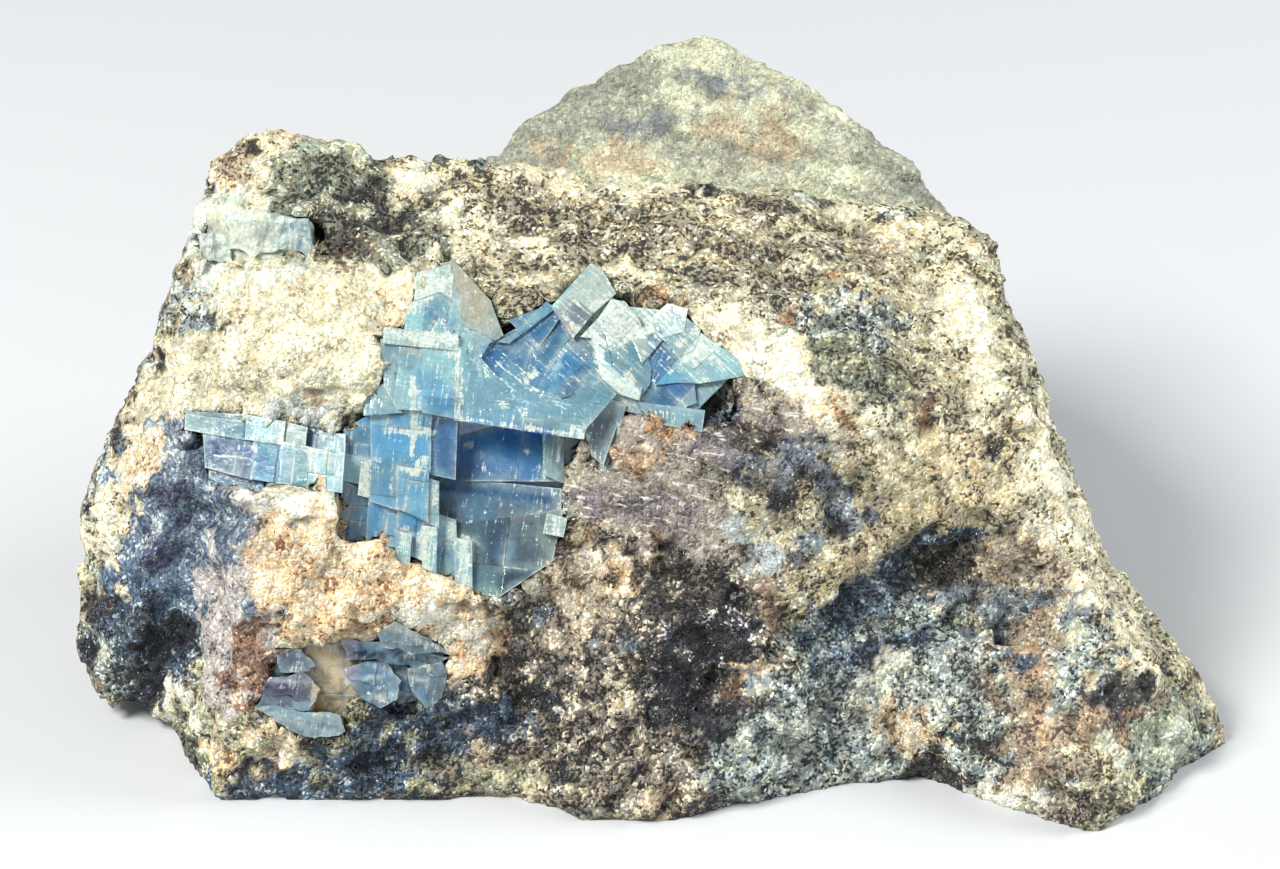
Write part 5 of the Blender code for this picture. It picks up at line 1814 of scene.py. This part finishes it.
@dataclass(frozen=True)
class Lamp:
    """A soft square light: where it stands, in metres, its side and its power in watts."""

    name: str
    place: tuple[float, float, float]
    side: float
    power: float
    color: tuple[float, float, float]


@dataclass
class Studio:
    """The floor, the lights and the camera.

    Attributes:
        face: The display face that the camera looks at.
        floor_side: Side of the floor in metres.
        floor_color: Its colour.
        sensor: Width of the camera's sensor in mm.
        sky: Strength of the even light from all sides.
        lamps: The soft lights.
    """

    face: DisplayFace
    floor_side: float = 6.0
    floor_color: str = "c0c4c8"
    sensor: float = 36.0
    sky: float = 0.30
    lamps: tuple[Lamp, ...] = (
        Lamp("key_light", (-0.34, -0.26, 0.50), 0.22, 6.4, (1.0, 0.97, 0.92)),
        Lamp("right_light", (0.50, 0.05, 0.35), 0.30, 3.0, (1.0, 0.98, 0.95)),
        Lamp("front_light", (0.10, -0.60, 0.22), 0.35, 0.5, (0.95, 0.97, 1.0)),
    )

    def build(self) -> None:
        """Sets up everything around the specimen."""
        self._floor()
        for lamp in self.lamps:
            self._light(lamp)
        self._sky()
        self._camera()
        bpy.context.scene.view_settings.view_transform = "Standard"

    def _floor(self) -> None:
        """Lays a plain pale floor."""
        shape = bmesh.new()
        bmesh.ops.create_grid(shape, x_segments=1, y_segments=1, size=self.floor_side / 2)
        floor = add_piece("floor", shape)
        sheet = NodeSheet("floor_paper")
        sheet.set(Base_Color=tone(self.floor_color), Roughness=0.8)
        dress(floor.data, sheet.material)

    def _light(self, lamp: Lamp) -> None:
        """Hangs one lamp and aims it at the specimen.

        Args:
            lamp: The lamp.
        """
        light = bpy.data.lights.new(lamp.name, "AREA")
        light.shape = "SQUARE"
        light.size = lamp.side
        light.energy = lamp.power
        light.color = lamp.color
        made = bpy.data.objects.new(lamp.name, light)
        made.location = lamp.place
        aim = Vector(self.face.centre) - Vector(lamp.place)
        made.rotation_euler = aim.to_track_quat("-Z", "Y").to_euler()
        bpy.context.scene.collection.objects.link(made)

    def _sky(self) -> None:
        """Lights the specimen evenly from all sides."""
        world = bpy.data.worlds.new("studio")
        world.use_nodes = True
        background = world.node_tree.nodes["Background"]
        background.inputs["Color"].default_value = (0.93, 0.96, 1.0, 1.0)
        background.inputs["Strength"].default_value = self.sky
        bpy.context.scene.world = world

    def _camera(self) -> None:
        """Stands the camera at the viewpoint, square to the display face."""
        camera = bpy.data.cameras.new("camera")
        camera.sensor_fit = "HORIZONTAL"
        camera.sensor_width = self.sensor
        camera.lens = self.sensor * self.face.distance / self.face.width
        camera.clip_start = 0.01
        made = bpy.data.objects.new("camera", camera)
        made.location = self.face.viewpoint()
        made.rotation_euler = (math.radians(90 - self.face.tilt), 0, 0)
        bpy.context.scene.collection.objects.link(made)
        bpy.context.scene.camera = made


# ---- The whole specimen ----


def carry(piece: Piece, node: str, slot: str) -> None:
    """Lets a piece ride on the specimen in place of a CAD node, and reports it.

    Args:
        piece: The finished piece.
        node: CAD node that it stands for.
        slot: Not used.
    """
    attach(piece, "root")
    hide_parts(node)
    triangles = sum(len(face.vertices) - 2 for face in piece.data.polygons)
    LOG.info("%s: %d triangles, stands for %s", piece.name, triangles, node)


def main() -> None:
    """Builds the specimen and the studio."""
    logging.basicConfig(level=logging.INFO, format="%(name)s %(message)s")
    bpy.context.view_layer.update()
    face = DisplayFace()
    laps = {"blue_calcite": 2.1, "slate_calcite": 3.2, "pale_calcite": 4.2}
    fronts = {node: FrontHeights(face, node) for node in laps}
    carry(SkarnRock(face, fronts, laps).build(), "matrix_rock", "skarn")
    finishes = (
        CleavageFinish("blue_cleavage"),
        CleavageFinish("slate_cleavage", haze=0.35, cloud="9cb2bc"),
        CleavageFinish("pale_cleavage", haze=0.5, cloud="ccd8c8", rough=0.45),
    )
    blue, slate, pale = fronts.values()
    growths = (
        CalciteGrowth("blue_crystals", blue, BLUE_SPOTS, BLUE_STROKES, finishes[0]),
        CalciteGrowth("slate_plates", slate, SLATE_SPOTS, SLATE_STROKES, finishes[1], 0.3 * MM),
        CalciteGrowth("pale_crystals", pale, PALE_SPOTS, PALE_STROKES, finishes[2], 0.45 * MM),
    )
    for growth in growths:
        carry(growth.build(), growth.front.node, growth.front.node)
    Studio(face).build()


if __name__ == "__main__":
    main()
